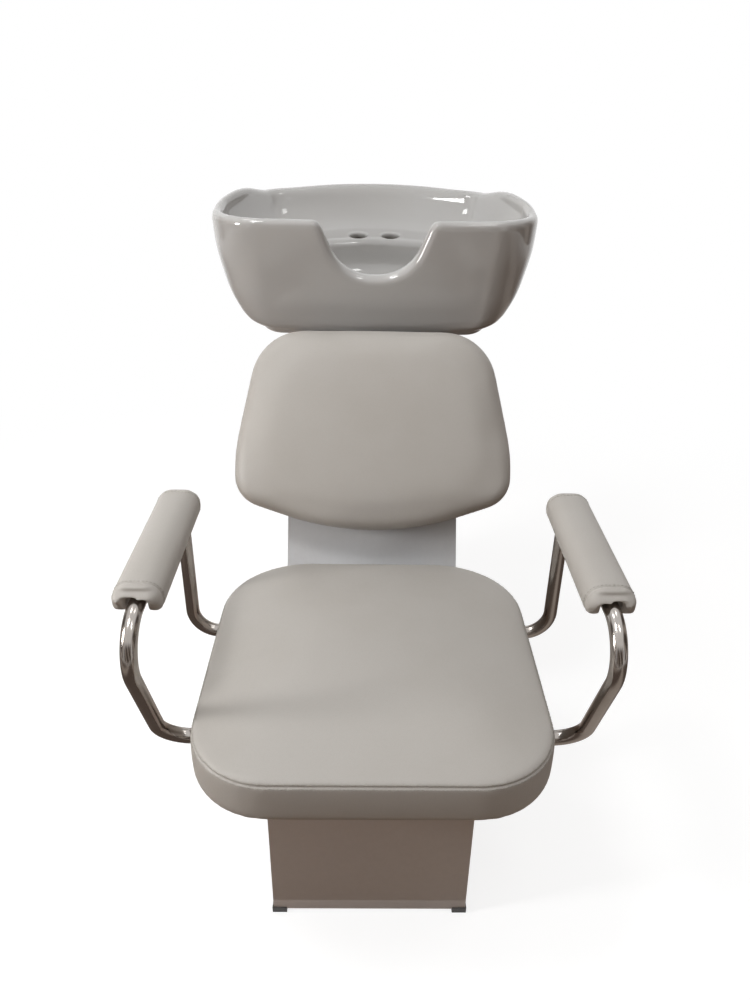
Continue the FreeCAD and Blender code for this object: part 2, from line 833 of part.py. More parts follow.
def pad_screws():
    """Screws up through the arm tubes into the pad cores."""
    screws = []
    low = arm_tube_height - arm_tube_radius
    core_low = arm_tube_height + arm_tube_radius + fit_gap
    for y in pad_screw_places():
        head = rod(screw_head_radius, vec(arm_plane_x, y, low - screw_head_height + fit_gap),
                   vec(arm_plane_x, y, low + fit_gap))
        head = head.cut(rod(arm_tube_radius, vec(arm_plane_x, y - overrun, arm_tube_height),
                            vec(arm_plane_x, y + overrun, arm_tube_height)))
        shank = rod(screw_radius, vec(arm_plane_x, y, low - screw_head_height + fit_gap),
                    vec(arm_plane_x, y, core_low + pad_core_thickness * screw_bite_share))
        screw = head.fuse(shank)
        screws.extend([screw, mirrored(screw)])
    return group(screws)


# Backrest, in its own axes: x across, y up the rake, z off the panel

def spacer_bolt_places():
    low = back_low_centre + spacer_low_inset + spacer_bolt_end
    high = back_low_centre + spacer_low_inset + spacer_length - spacer_bolt_end
    return [(x, along) for x in (-spacer_x, spacer_x) for along in (low, high)]


def back_corners():
    """Backrest outline: wide low down, rounded off towards the shoulders."""
    half = back_half_width
    right = [(half, back_low_centre + back_corner_share * back_length,
              back_corner_radius_share * back_length),
             (half, back_low_centre + back_side_share * back_length,
              back_side_radius_share * back_length),
             (half * back_shoulder_width_share, back_low_centre + back_shoulder_share * back_length,
              back_shoulder_radius_share * back_length)]
    low = (0, back_low_centre + back_low_share * back_length, back_bottom_radius)
    high = (0, back_low_centre + back_length, back_top_radius)
    return both_sides(right, low, high)


def backrest_cushion():
    """Padded back: soft edges and a domed front, with a pocket for its board."""
    rings = []
    for height_share, inset_share in back_ring_shares:
        z = back_stand_off + height_share * back_thickness
        corners = inset_corners(back_corners(), inset_share * back_crown_inset)
        rings.append(rounded_wire(corners, lambda x, y, z=z: vec(x, y, z)))
    cushion = stepped_loft(rings)
    pocket = inset_corners(back_corners(), back_board_inset - fit_gap)
    recess = prism(pocket, lambda x, y: vec(x, y, back_stand_off - overrun),
                   vec(0, 0, overrun + back_board_thickness))
    return raked(cushion.cut(recess))


def backrest_board():
    corners = inset_corners(back_corners(), back_board_inset)
    board = prism(corners, lambda x, y: vec(x, y, back_stand_off), vec(0, 0, back_board_thickness))
    for x, along in spacer_bolt_places():
        board = board.cut(rod(m8_radius + hole_play, vec(x, along, 0), vec(x, along, back_thickness)))
    return raked(board)


def backrest_spacers():
    """Two flat tubes that hold the backrest off the raked panel."""
    low = back_low_centre + spacer_low_inset
    outer = box(spacer_x - spacer_width / 2, spacer_x + spacer_width / 2,
                low, low + spacer_length, 0, back_stand_off)
    bore = box(spacer_x - spacer_width / 2 + spacer_wall, spacer_x + spacer_width / 2 - spacer_wall,
               low - overrun, low + spacer_length + overrun, spacer_wall, back_stand_off - spacer_wall)
    spacer = outer.cut(bore)
    for x, along in spacer_bolt_places():
        if x > 0:
            spacer = spacer.cut(rod(m8_radius + hole_play, vec(x, along, -overrun),
                                    vec(x, along, back_stand_off + overrun)))
    return raked(group([spacer, mirrored(spacer)]))


def backrest_bolts():
    """Bolts from inside the column through panel, spacer and board."""
    bolts = []
    for x, along in spacer_bolt_places():
        head = hexagon(m8_across_flats, vec(x, along, -sheet - m8_head_height), vec(x, along, -sheet))
        tip = back_stand_off + back_board_thickness
        bolts.append(head.fuse(rod(m8_radius, vec(x, along, -sheet), vec(x, along, tip))))
    return raked(group(bolts))


# Ceramic basin, in its own axes

def basin_corners(width_share, front_share, rear_share, side_radius):
    """Plan of the basin at one level: straight front, tapering sides, bowed back."""
    half = basin_width / 2 * width_share
    front = basin_length * front_share
    span = basin_length * (rear_share - front_share)
    size_share = min(width_share, rear_share - front_share)
    right = [(half, front, basin_front_radius * size_share),
             (half, front + span * basin_side_share, side_radius * size_share),
             (half * basin_rear_width_share, front + span * basin_rear_share,
              basin_rear_radius * size_share)]
    back = (0, front + span * basin_apex_share, basin_back_radius * size_share)
    left = [(-a, b, radius) for a, b, radius in reversed(right)]
    return right + [back] + left


def basin_form(shares, top_depth, bottom_depth, raise_by, side_radius):
    """Smooth body through the levels of a table, carried straight up by raise_by."""
    rings = []
    for depth_share, width_share, front_share, rear_share in shares:
        depth = top_depth + depth_share * (bottom_depth - top_depth)
        corners = basin_corners(width_share, front_share, rear_share, side_radius)
        rings.append(rounded_wire(corners, lambda x, y, depth=depth: vec(x, y, -depth)))
    body = loft(rings)
    if raise_by > 0:
        lid = Part.Face(rings[0]).extrude(vec(0, 0, raise_by))
        body = body.fuse(lid)
    return body


def above_rim():
    """Everything above the rim line: level front, raised ears, lower back."""
    top = ear_height + 2 * overrun
    corners = [(-overrun, 0, 0),
               (ear_start_share * basin_length, 0, ear_foot_radius),
               (ear_front_share * basin_length, ear_height, ear_top_radius),
               (ear_back_share * basin_length, ear_height, ear_top_radius),
               (ear_end_share * basin_length, -back_drop, ear_drop_radius),
               (basin_length + overrun, -back_drop, 0),
               (basin_length + overrun, top, 0),
               (-overrun, top, 0)]
    return prism(corners, lambda y, z: vec(-basin_width, y, z), vec(2 * basin_width, 0, 0))


def neck_notch():
    """Rounded cut-out in the front wall for the client's neck."""
    far_half = notch_half_width + notch_shoulder_width
    right = [(notch_bottom_half, -notch_depth, notch_radius),
             (notch_half_width, 0, notch_shoulder_radius),
             (far_half, notch_shoulder_rise, 0), (far_half, overrun, 0)]
    left = [(-a, b, radius) for a, b, radius in reversed(right)]
    corners = right + left
    return prism(corners, lambda x, z: vec(x, -overrun, z), vec(0, notch_reach + overrun, 0))


def boss_places():
    return [(side * boss_x, y) for side in (-1, 1)
            for y in (basin_foot_front + boss_y_inset, basin_foot_rear - boss_y_inset)]


def foot_outline(inset):
    half = basin_foot_half
    corners = [(half, basin_foot_front, basin_foot_radius), (half, basin_foot_rear, basin_foot_radius),
               (-half, basin_foot_rear, basin_foot_radius), (-half, basin_foot_front, basin_foot_radius)]
    return inset_corners(corners, inset)


def basin_bowl():
    """White glazed ceramic: rounded tub, neck notch, ears, tap deck and foot."""
    body = basin_form(basin_outer_shares, 0, basin_depth, ear_height + overrun, basin_side_radius)
    foot_low = basin_depth + basin_foot_height
    foot = prism(foot_outline(0), lambda x, y: vec(x, y, -foot_low),
                 vec(0, 0, basin_foot_height + ceramic_wall))
    body = body.fuse(foot)
    upper = basin_form(bowl_upper_shares, 0, tap_deck_depth, ear_height + 2 * overrun, bowl_side_radius)
    lower = basin_form(bowl_lower_shares, tap_deck_depth, bowl_depth, overrun, bowl_side_radius)
    body = body.cut(upper).cut(lower).cut(above_rim()).cut(neck_notch())
    recess_top = bowl_depth + ceramic_wall
    recess = prism(foot_outline(basin_foot_wall), lambda x, y: vec(x, y, -foot_low - overrun),
                   vec(0, 0, foot_low + overrun - recess_top))
    for x, y in boss_places():
        recess = recess.cut(rod(boss_radius, vec(x, y, -foot_low - 2 * overrun), vec(x, y, 0)))
    body = body.cut(recess).cut(tap_pocket())
    for x, y in boss_places():
        body = body.cut(rod(boss_hole_radius, vec(x, y, -foot_low - overrun),
                            vec(x, y, -foot_low + boss_hole_depth)))
    for side in (-1, 1):
        x = side * tap_hole_spacing / 2
        body = body.cut(rod(tap_hole_radius, vec(x, tap_hole_y, -foot_low), vec(x, tap_hole_y, 0)))
    body = body.cut(rod(drain_flange_radius + fit_gap, vec(0, drain_y, drain_seat_z), vec(0, drain_y, 0)))
    body = body.cut(rod(drain_body_radius + fit_gap, vec(0, drain_y, -foot_low), vec(0, drain_y, 0)))
    return tilted(body)


def tap_pocket():
    """Hollow under the tap deck, open below, for the tap nuts and hoses."""
    top = tap_deck_depth + ceramic_wall
    bottom = basin_depth + basin_foot_height + overrun
    front = tap_deck_front + ceramic_wall + fit_gap
    rings = []
    for depth, rear in ((top, pocket_top_rear), (bottom, pocket_low_rear)):
        corners = [(pocket_half, front, ceramic_wall), (pocket_half, rear, ceramic_wall),
                   (-pocket_half, rear, ceramic_wall), (-pocket_half, front, ceramic_wall)]
        rings.append(rounded_wire(corners, lambda x, y, depth=depth: vec(x, y, -depth)))
    return loft(rings)


# Waste fitting, in the basin's axes

def ring(outer, inner, x, y, low, high):
    """Upright ring between two heights."""
    body = rod(outer, vec(x, y, low), vec(x, y, high))
    return body.cut(rod(inner, vec(x, y, low - overrun), vec(x, y, high + overrun)))


def waste_axis_y(height):
    """Where the waste's axis passes a height of the object, with the basin at rest."""
    drop = basin_rim_height + drain_y * math.sin(tilt) - height
    return basin_front_y + drain_y * math.cos(tilt) + drop * math.tan(tilt)


def drain_flange():
    """Chromed waste with its threaded body and a cross bridge."""
    low = drain_top_z - drain_body_length
    flange_ring = ring(drain_flange_radius, drain_bore_radius, 0, drain_y, drain_seat_z, drain_top_z)
    body = ring(drain_body_radius, drain_bore_radius, 0, drain_y, low, drain_top_z)
    bridge_z = drain_seat_z - strainer_height - drain_gap
    bridge = box(-drain_bore_radius - drain_bridge / 2, drain_bore_radius + drain_bridge / 2,
                 drain_y - drain_bridge / 2, drain_y + drain_bridge / 2, bridge_z - drain_bridge, bridge_z)
    cross = box(-drain_bridge / 2, drain_bridge / 2, drain_y - drain_bore_radius - drain_bridge / 2,
                drain_y + drain_bore_radius + drain_bridge / 2, bridge_z - drain_bridge, bridge_z)
    return tilted(flange_ring.fuse(body).fuse(bridge).fuse(cross))


def drain_gasket():
    return tilted(ring(gasket_radius, drain_body_radius + fit_gap, 0, drain_y,
                       drain_under_z - gasket_thickness, drain_under_z))


def drain_nut():
    """Large plastic back-nut under the gasket."""
    high = drain_under_z - gasket_thickness
    nut = hexagon(backnut_across_flats, vec(0, drain_y, high - backnut_thickness),
                  vec(0, drain_y, high))
    bore = rod(drain_body_radius, vec(0, drain_y, high - overrun), vec(0, drain_y, high + overrun))
    return tilted(nut.cut(bore))


def drain_tailpiece():
    """Pipe that the waste hose is pushed on to."""
    sleeve_low = drain_top_z - drain_body_length
    sleeve_radius = drain_body_radius + 2 * tailpiece_wall
    bore_radius = tailpiece_radius - tailpiece_wall
    low = sleeve_low + tailpiece_overlap - tailpiece_length
    sleeve = ring(sleeve_radius, drain_body_radius, 0, drain_y, sleeve_low, sleeve_low + tailpiece_overlap)
    pipe = ring(tailpiece_radius, bore_radius, 0, drain_y, low, sleeve_low)
    shoulder = Part.makeCone(tailpiece_radius, sleeve_radius, tailpiece_shoulder,
                             vec(0, drain_y, sleeve_low - tailpiece_shoulder))
    shoulder = shoulder.cut(rod(bore_radius, vec(0, drain_y, low), vec(0, drain_y, sleeve_low)))
    return tilted(sleeve.fuse(shoulder).fuse(pipe))


def hair_strainer():
    """Lift-out cup with holes and a small knob."""
    low = drain_seat_z - strainer_height
    cup = rod(strainer_radius, vec(0, drain_y, low), vec(0, drain_y, drain_seat_z))
    hollow = rod(strainer_radius - strainer_wall, vec(0, drain_y, low + strainer_wall),
                 vec(0, drain_y, drain_seat_z + overrun))
    knob = rod(strainer_knob_radius, vec(0, drain_y, low), vec(0, drain_y, low + strainer_knob_height))
    cup = cup.cut(hollow).fuse(knob)
    for step in range(strainer_holes):
        angle = 2 * math.pi * step / strainer_holes
        x = strainer_hole_circle * math.cos(angle)
        y = drain_y + strainer_hole_circle * math.sin(angle)
        cup = cup.cut(rod(strainer_hole_radius, vec(x, y, low - overrun), vec(x, y, drain_seat_z)))
    return tilted(cup)


# Tilt mechanism

def pivot_place():
    """Centre of the tilt axis in the object's frame."""
    y = basin_front_y + pivot_y * math.cos(tilt) + pivot_drop * math.sin(tilt)
    z = basin_rim_height + pivot_y * math.sin(tilt) - pivot_drop * math.cos(tilt)
    return vec(0, y, z)


def cradle_top():
    return -basin_depth - basin_foot_height - pad_rubber_thickness


def basin_pads():
    """Rubber washers between the ceramic and the cradle."""
    high = -basin_depth - basin_foot_height
    return tilted(group([ring(boss_radius, m8_radius + hole_play, x, y, cradle_top(), high)
                         for x, y in boss_places()]))


def cradle_plate():
    """Steel plate under the basin, with a hole round the waste fitting."""
    top = cradle_top()
    corners = [(cradle_half_width, cradle_front, cradle_corner),
               (cradle_half_width, cradle_rear, cradle_corner),
               (-cradle_half_width, cradle_rear, cradle_corner),
               (-cradle_half_width, cradle_front, cradle_corner)]
    low = top - cradle_plate_thickness
    plate = prism(corners, lambda x, y: vec(x, y, low), vec(0, 0, cradle_plate_thickness))
    plate = plate.cut(rod(cradle_hole_radius, vec(0, drain_y, top - overrun),
                          vec(0, drain_y, top + overrun)))
    for x, y in boss_places():
        plate = plate.cut(rod(m8_radius + hole_play, vec(x, y, top - overrun), vec(x, y, top + overrun)))
    return tilted(plate)


def cradle_ears():
    """Two lugs under the cradle plate with the bores for the pivot bushes."""
    top = cradle_top() - cradle_plate_thickness
    half = cradle_ear_top_half
    radius = cradle_ear_radius
    corners = [(pivot_y - half, top, 0), (pivot_y - radius, -pivot_drop - radius, radius * lug_round_share),
               (pivot_y + radius, -pivot_drop - radius, radius * lug_round_share), (pivot_y + half, top, 0)]
    ear = prism(corners, lambda y, z: vec(cradle_ear_x, y, z), vec(cradle_ear_thickness, 0, 0))
    bore = rod(bush_radius, vec(0, pivot_y, -pivot_drop), vec(2 * cradle_ear_x, pivot_y, -pivot_drop))
    ear = ear.cut(bore)
    return tilted(group([ear, mirrored(ear)]))


def basin_bolts():
    """Bolts up through the cradle plate into the ceramic bosses."""
    low = cradle_top() - cradle_plate_thickness
    bolts = []
    for x, y in boss_places():
        washer = rod(washer_radius, vec(x, y, low - washer_thickness), vec(x, y, low))
        head = hexagon(m8_across_flats, vec(x, y, low - washer_thickness - m8_head_height),
                       vec(x, y, low - washer_thickness))
        tip = -basin_depth - basin_foot_height + boss_hole_depth * screw_bite_share
        bolts.append(washer.fuse(head).fuse(rod(m8_radius, vec(x, y, low), vec(x, y, tip))))
    return tilted(group(bolts))


def pivot_bushes():
    """Nylon bushes in the cradle lugs."""
    start = vec(cradle_ear_x, pivot_y, -pivot_drop)
    end = vec(cradle_ear_x + cradle_ear_thickness, pivot_y, -pivot_drop)
    bore = rod(pivot_radius + running_gap, vec(0, pivot_y, -pivot_drop),
               vec(2 * cradle_ear_x, pivot_y, -pivot_drop))
    bush = rod(bush_radius, start, end).cut(bore)
    return tilted(group([bush, mirrored(bush)]))


def yoke_inner_x():
    return cradle_ear_x + cradle_ear_thickness + fit_gap + friction_thickness


def axle(radius, x_low, x_high):
    """Round bar on the tilt axis."""
    centre = pivot_place()
    return rod(radius, vec(x_low, centre.y, centre.z), vec(x_high, centre.y, centre.z))


def friction_washers():
    low = yoke_inner_x() - friction_thickness
    washer = axle(friction_radius, low, yoke_inner_x()).cut(axle(pivot_radius + running_gap, 0, 2 * low))
    return group([washer, mirrored(washer)])


def yoke_bolt_places():
    x = yoke_inner_x() + yoke_bolt_from_ear
    centre = yoke_centre_y()
    return [(x, centre - yoke_bolt_spacing / 2), (x, centre + yoke_bolt_spacing / 2)]


def yoke_centre_y():
    return base_rear_y - fit_gap - yoke_foot_length / 2


def yoke_bracket():
    """Right bracket: a foot bolted to the top plate and an upright lug."""
    inner_x = yoke_inner_x()
    centre = pivot_place()
    low = column_height
    front = yoke_centre_y() - yoke_foot_length / 2
    rear = yoke_centre_y() + yoke_foot_length / 2
    foot = box(inner_x, inner_x + yoke_foot_width, front, rear, low, low + yoke_foot_thickness)
    top = centre.z + yoke_ear_radius
    round_top = yoke_ear_radius * lug_round_share
    corners = [(front, low, 0), (rear, low, 0), (centre.y + yoke_ear_radius, top, round_top),
               (centre.y - yoke_ear_radius, top, round_top)]
    lug = prism(corners, lambda y, z: vec(inner_x, y, z), vec(yoke_ear_thickness, 0, 0))
    bracket = foot.fuse(lug)
    for x, y in yoke_bolt_places():
        bracket = bracket.cut(rod(m8_radius + hole_play, vec(x, y, low - overrun),
                                  vec(x, y, low + overrun)))
    return bracket.cut(axle(pivot_radius + running_gap, 0, 2 * inner_x))


def yoke_bolts():
    """Bolts through bracket foot and top plate, with nuts below."""
    bolts = []
    high = column_height + yoke_foot_thickness
    nut_top = frame_top_z - washer_thickness
    for x, y in yoke_bolt_places():
        head = hexagon(m8_across_flats, vec(x, y, high), vec(x, y, high + m8_head_height))
        nut = hexagon(m8_across_flats, vec(x, y, nut_top - m8_nut_height), vec(x, y, nut_top))
        washer = rod(washer_radius, vec(x, y, nut_top), vec(x, y, frame_top_z))
        shank = rod(m8_radius, vec(x, y, nut_top - m8_nut_height), vec(x, y, high))
        bolt = head.fuse(nut).fuse(washer).fuse(shank)
        bolts.extend([bolt, mirrored(bolt)])
    return group(bolts)


def axle_nut(low, high, across_flats):
    """Hexagon on the tilt axis."""
    centre = pivot_place()
    return hexagon(across_flats, vec(low, centre.y, centre.z), vec(high, centre.y, centre.z))


def pivot_bolts():
    """Left: a hexagon bolt. Right: a stud that the clamp lever turns on."""
    inside = cradle_ear_x - fit_gap
    outside = yoke_inner_x() + yoke_ear_thickness
    nut = axle_nut(inside - m12_nut_height, inside, m12_across_flats)
    shank = axle(pivot_radius, inside - m12_nut_height, outside)
    head = axle_nut(outside, outside + m12_head_height, m12_across_flats)
    left = mirrored(shank.fuse(nut).fuse(head))
    stud_end = outside + fit_gap + lever_hub_length
    stud = axle(pivot_radius, inside - m12_nut_height, stud_end).fuse(nut)
    return group([left, stud])


def lever_point(along, across, droop_angle):
    """Point in the lever's plane, measured from the tilt axis."""
    angle = math.radians(-droop_angle)
    centre = pivot_place()
    return (centre.y + along * math.cos(angle) - across * math.sin(angle),
            centre.z + along * math.sin(angle) + across * math.cos(angle))


def lock_lever():
    """Clamp lever with a hub on the stud."""
    low = yoke_inner_x() + yoke_ear_thickness + fit_gap
    high = low + lever_hub_length
    hub = axle(lever_hub_radius, low, high + lever_cap_thickness)
    half = lever_arm_width / 2
    places = [(0, -half), (lever_arm_length, -half), (lever_arm_length, half), (0, half)]
    corners = [lever_point(along, across, lever_droop) + (0,) for along, across in places]
    arm_low = high - lever_arm_thickness
    arm = prism(corners, lambda y, z: vec(arm_low, y, z), vec(lever_arm_thickness, 0, 0))
    bore = axle(pivot_radius + running_gap, 0, high + fit_gap)
    return hub.fuse(arm).cut(bore)


def lever_knob():
    """Plastic grip on the end of the lever."""
    start_y, start_z = lever_point(lever_arm_length - lever_knob_overlap, 0, lever_droop)
    knob_end = lever_arm_length - lever_knob_overlap + lever_knob_length
    end_y, end_z = lever_point(knob_end, 0, lever_droop)
    x = yoke_inner_x() + yoke_ear_thickness + fit_gap + lever_hub_length - lever_arm_thickness / 2
    start = vec(x, start_y, start_z)
    end = vec(x, end_y, end_z)
    run = end - start
    thin_end = lever_knob_radius * lever_knob_taper_share
    grip = Part.makeCone(thin_end, lever_knob_radius, run.Length, start, run)
    return grip.cut(lock_lever())


def main():
    os.makedirs("parts", exist_ok=True)
    right_side = drill_side_panel(side_panel())
    bracket = yoke_bracket()
    tube = arm_tube()
    pad = arm_pad()
    core = pad_core()
    nodes = {
        "left_side_panel": mirrored(right_side), "right_side_panel": right_side,
        "front_panel": front_panel(), "seat_deck": seat_deck(), "back_panel": back_panel(),
        "top_plate": top_plate(), "rear_cover": rear_cover(), "cover_screws": cover_screws(),
        "floor_plate": floor_plate(), "column_posts": column_posts(),
        "deck_bearers": deck_bearers(), "corner_feet": corner_feet(),
        "front_cross_rail": cross_rail(front_rail_y), "rear_cross_rail": cross_rail(rear_rail_y),
        "rail_bolts": rail_bolts(), "seat_board": seat_board(), "seat_cushion": seat_cushion(),
        "seat_screws": seat_screws(),
        "left_arm_tube": mirrored(tube), "right_arm_tube": tube, "arm_clamp_screws": arm_screws(),
        "left_arm_pad": mirrored(pad), "right_arm_pad": pad,
        "left_pad_core": mirrored(core), "right_pad_core": core, "pad_screws": pad_screws(),
        "backrest_cushion": backrest_cushion(), "backrest_board": backrest_board(),
        "backrest_spacers": backrest_spacers(), "backrest_bolts": backrest_bolts(),
        "basin_bowl": basin_bowl(), "drain_flange": drain_flange(), "drain_gasket": drain_gasket(),
        "drain_nut": drain_nut(), "drain_tailpiece": drain_tailpiece(),
        "hair_strainer": hair_strainer(),
        "basin_pads": basin_pads(), "basin_bolts": basin_bolts(),
        "cradle_plate": cradle_plate(), "cradle_ears": cradle_ears(), "pivot_bushes": pivot_bushes(),
        "left_yoke_bracket": mirrored(bracket), "right_yoke_bracket": bracket,
        "yoke_bolts": yoke_bolts(), "friction_washers": friction_washers(),
        "pivot_bolts": pivot_bolts(), "lock_lever": lock_lever(), "lever_knob": lever_knob(),
    }
    for node, shape in nodes.items():
        save(node, shape)


main()
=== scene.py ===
import json
import math

import bmesh
import bpy
import numpy as np
from mathutils import Matrix, Vector
from mathutils.bvhtree import BVHTree
from mathutils.kdtree import KDTree

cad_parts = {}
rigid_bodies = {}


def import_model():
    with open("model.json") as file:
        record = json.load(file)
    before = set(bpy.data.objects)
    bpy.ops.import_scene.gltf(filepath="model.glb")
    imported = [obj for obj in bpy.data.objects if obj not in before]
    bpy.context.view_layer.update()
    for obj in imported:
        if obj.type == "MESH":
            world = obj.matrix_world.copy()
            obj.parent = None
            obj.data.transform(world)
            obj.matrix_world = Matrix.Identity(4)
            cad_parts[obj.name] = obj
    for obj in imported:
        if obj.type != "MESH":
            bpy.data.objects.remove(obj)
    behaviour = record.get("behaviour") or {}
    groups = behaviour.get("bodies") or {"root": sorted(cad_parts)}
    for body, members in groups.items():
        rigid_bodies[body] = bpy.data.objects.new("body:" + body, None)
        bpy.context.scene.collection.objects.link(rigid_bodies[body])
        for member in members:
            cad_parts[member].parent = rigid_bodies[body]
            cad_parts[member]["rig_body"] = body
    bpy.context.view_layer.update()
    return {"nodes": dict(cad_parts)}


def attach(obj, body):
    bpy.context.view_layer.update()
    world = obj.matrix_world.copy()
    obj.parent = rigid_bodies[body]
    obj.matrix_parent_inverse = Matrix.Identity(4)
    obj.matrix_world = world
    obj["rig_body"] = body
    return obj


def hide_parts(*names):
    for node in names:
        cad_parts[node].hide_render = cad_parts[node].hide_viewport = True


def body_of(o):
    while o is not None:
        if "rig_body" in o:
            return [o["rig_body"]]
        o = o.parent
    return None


bl_info = {
    "name": "Salon Backwash Chair",
    "version": (1, 0, 0),
    "blender": (4, 5, 0),
    "location": "View3D > Sidebar > Salon",
    "description": "Dresses a salon backwash chair: cushions, basin, stand, metalwork and stage",
    "category": "Object",
}

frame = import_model()


# Sizes and colours that a user would change

class SalonChairSizes(bpy.types.PropertyGroup):
    """Sizes of the soft and glazed details."""
    seam_height: bpy.props.FloatProperty(
        name="Seat seam height", description="Height of the seat's upper seam above the floor",
        default=0.4465, unit="LENGTH")
    stitch_pitch: bpy.props.FloatProperty(
        name="Stitch pitch", description="Distance from one stitch to the next",
        default=0.0052, unit="LENGTH")
    stitch_length: bpy.props.FloatProperty(
        name="Stitch length", description="Length of thread that shows in one stitch",
        default=0.0040, unit="LENGTH")
    thread_radius: bpy.props.FloatProperty(
        name="Thread radius", description="Radius of the sewing thread",
        default=0.00042, unit="LENGTH")
    seam_depth: bpy.props.FloatProperty(
        name="Seam depth", description="How far a seam pulls the cover in",
        default=0.0016, unit="LENGTH")
    pad_voxel: bpy.props.FloatProperty(
        name="Cushion mesh size", description="Mesh size of the cushions before the cloth is inflated",
        default=0.0052, unit="LENGTH")
    basin_cell: bpy.props.FloatProperty(
        name="Basin mesh size", description="Mesh size of the ceramic",
        default=0.0034, unit="LENGTH")
    rim_round: bpy.props.FloatProperty(
        name="Rim rounding", description="How softly the basin's rim is rounded",
        default=0.016, unit="LENGTH")


class SalonChairColours(bpy.types.PropertyGroup):
    """Base colours of the finishes."""
    leatherette: bpy.props.FloatVectorProperty(
        name="Leatherette", description="Cover of the seat, backrest and arm pads",
        default=(0.460, 0.438, 0.410), subtype="COLOR", min=0.0, max=1.0)
    thread: bpy.props.FloatVectorProperty(
        name="Thread", description="Sewing thread of the seams",
        default=(0.400, 0.375, 0.335), subtype="COLOR", min=0.0, max=1.0)
    glaze: bpy.props.FloatVectorProperty(
        name="Glaze", description="Glazed ceramic of the basin",
        default=(0.455, 0.449, 0.440), subtype="COLOR", min=0.0, max=1.0)
    # Lit copy of the same white powder coat as the stand: brighter and a little blue, as painted cool light
    # from above.
    panel_paint_with_painted_light: bpy.props.FloatVectorProperty(
        name="Back panel paint", description="Powder coat of the raked back panel and the top plate",
        default=(0.620, 0.630, 0.650), subtype="COLOR", min=0.0, max=1.0)
    # Shaded copy of the same white powder coat as the back panel: darker and warmer, as painted warm shade
    # from the dim light near the floor.
    stand_paint_with_painted_shade: bpy.props.FloatVectorProperty(
        name="Stand paint", description="Powder coat of the stand's box",
        default=(0.500, 0.445, 0.412), subtype="COLOR", min=0.0, max=1.0)
    chrome: bpy.props.FloatVectorProperty(
        name="Chrome", description="Plating of the arm tubes and the waste fitting",
        default=(0.460, 0.430, 0.405), subtype="COLOR", min=0.0, max=1.0)
    black: bpy.props.FloatVectorProperty(
        name="Black plastic", description="Corner feet, knob and nuts",
        default=(0.018, 0.018, 0.019), subtype="COLOR", min=0.0, max=1.0)
    plywood: bpy.props.FloatVectorProperty(
        name="Plywood", description="Boards under the cushions",
        default=(0.420, 0.270, 0.140), subtype="COLOR", min=0.0, max=1.0)


def sizes():
    return bpy.context.scene.salon_chair_sizes


def colours():
    return bpy.context.scene.salon_chair_colours


def base_colour(name):
    return tuple(getattr(colours(), name))


# Shader node groups

def node(tree, kind, **values):
    """Adds a node and sets its own values and, by name, its input sockets."""
    made = tree.nodes.new(kind)
    for name, value in values.items():
        if hasattr(made, name) and name not in made.inputs:
            setattr(made, name, value)
        else:
            made.inputs[name.replace("_", " ")].default_value = value
    return made


def new_group(name, inputs, outputs):
    """Empty shader node group with named sockets."""
    group = bpy.data.node_groups.new(name, "ShaderNodeTree")
    for socket, kind, default in inputs:
        made = group.interface.new_socket(name=socket, in_out="INPUT", socket_type=kind)
        made.default_value = default
    for socket, kind in outputs:
        group.interface.new_socket(name=socket, in_out="OUTPUT", socket_type=kind)
    return group, group.nodes.new("NodeGroupInput"), group.nodes.new("NodeGroupOutput")


FLOAT = "NodeSocketFloat"
COLOUR = "NodeSocketColor"


def object_coordinates(tree):
    return tree.nodes.new("ShaderNodeTexCoord").outputs["Object"]


def geometry(tree, output):
    return tree.nodes.new("ShaderNodeNewGeometry").outputs[output]


def separated(tree, vector):
    """Sockets for X, Y and Z of a vector."""
    made = tree.nodes.new("ShaderNodeSeparateXYZ")
    tree.links.new(vector, made.inputs[0])
    return made.outputs


def put_out(group, out, **sockets):
    """Links what a group puts out."""
    for name, socket in sockets.items():
        group.links.new(socket, out.inputs[name])


def maths(tree, operation, first, second=None, third=None):
    """Maths node whose inputs are numbers or sockets."""
    made = tree.nodes.new("ShaderNodeMath")
    made.operation = operation
    for index, value in enumerate((first, second, third)):
        if value is None:
            continue
        if isinstance(value, (int, float)):
            made.inputs[index].default_value = value
        else:
            tree.links.new(value, made.inputs[index])
    return made.outputs[0]


def blend_colours(tree, share, first, second):
    """Mixes two colours, each a socket or a tuple."""
    made = tree.nodes.new("ShaderNodeMix")
    made.data_type = "RGBA"
    for socket, value in ((made.inputs[0], share), (made.inputs[6], first), (made.inputs[7], second)):
        if isinstance(value, (int, float)):
            socket.default_value = value
        elif isinstance(value, tuple):
            socket.default_value = value + (1.0,)
        else:
            tree.links.new(value, socket)
    return made.outputs[2]


def ramp(tree, value, low, high):
    """Clamped change from 0 at low to 1 at high."""
    made = node(tree, "ShaderNodeMapRange", interpolation_type="SMOOTHSTEP", From_Min=low, From_Max=high)
    tree.links.new(value, made.inputs["Value"])
    return made.outputs["Result"]


def noise(tree, vector, scale, detail=3.0, roughness=0.5):
    made = node(tree, "ShaderNodeTexNoise", Detail=detail, Roughness=roughness)
    tree.links.new(vector, made.inputs["Vector"])
    if isinstance(scale, (int, float)):
        made.inputs["Scale"].default_value = scale
    else:
        tree.links.new(scale, made.inputs["Scale"])
    return made.outputs["Fac"]


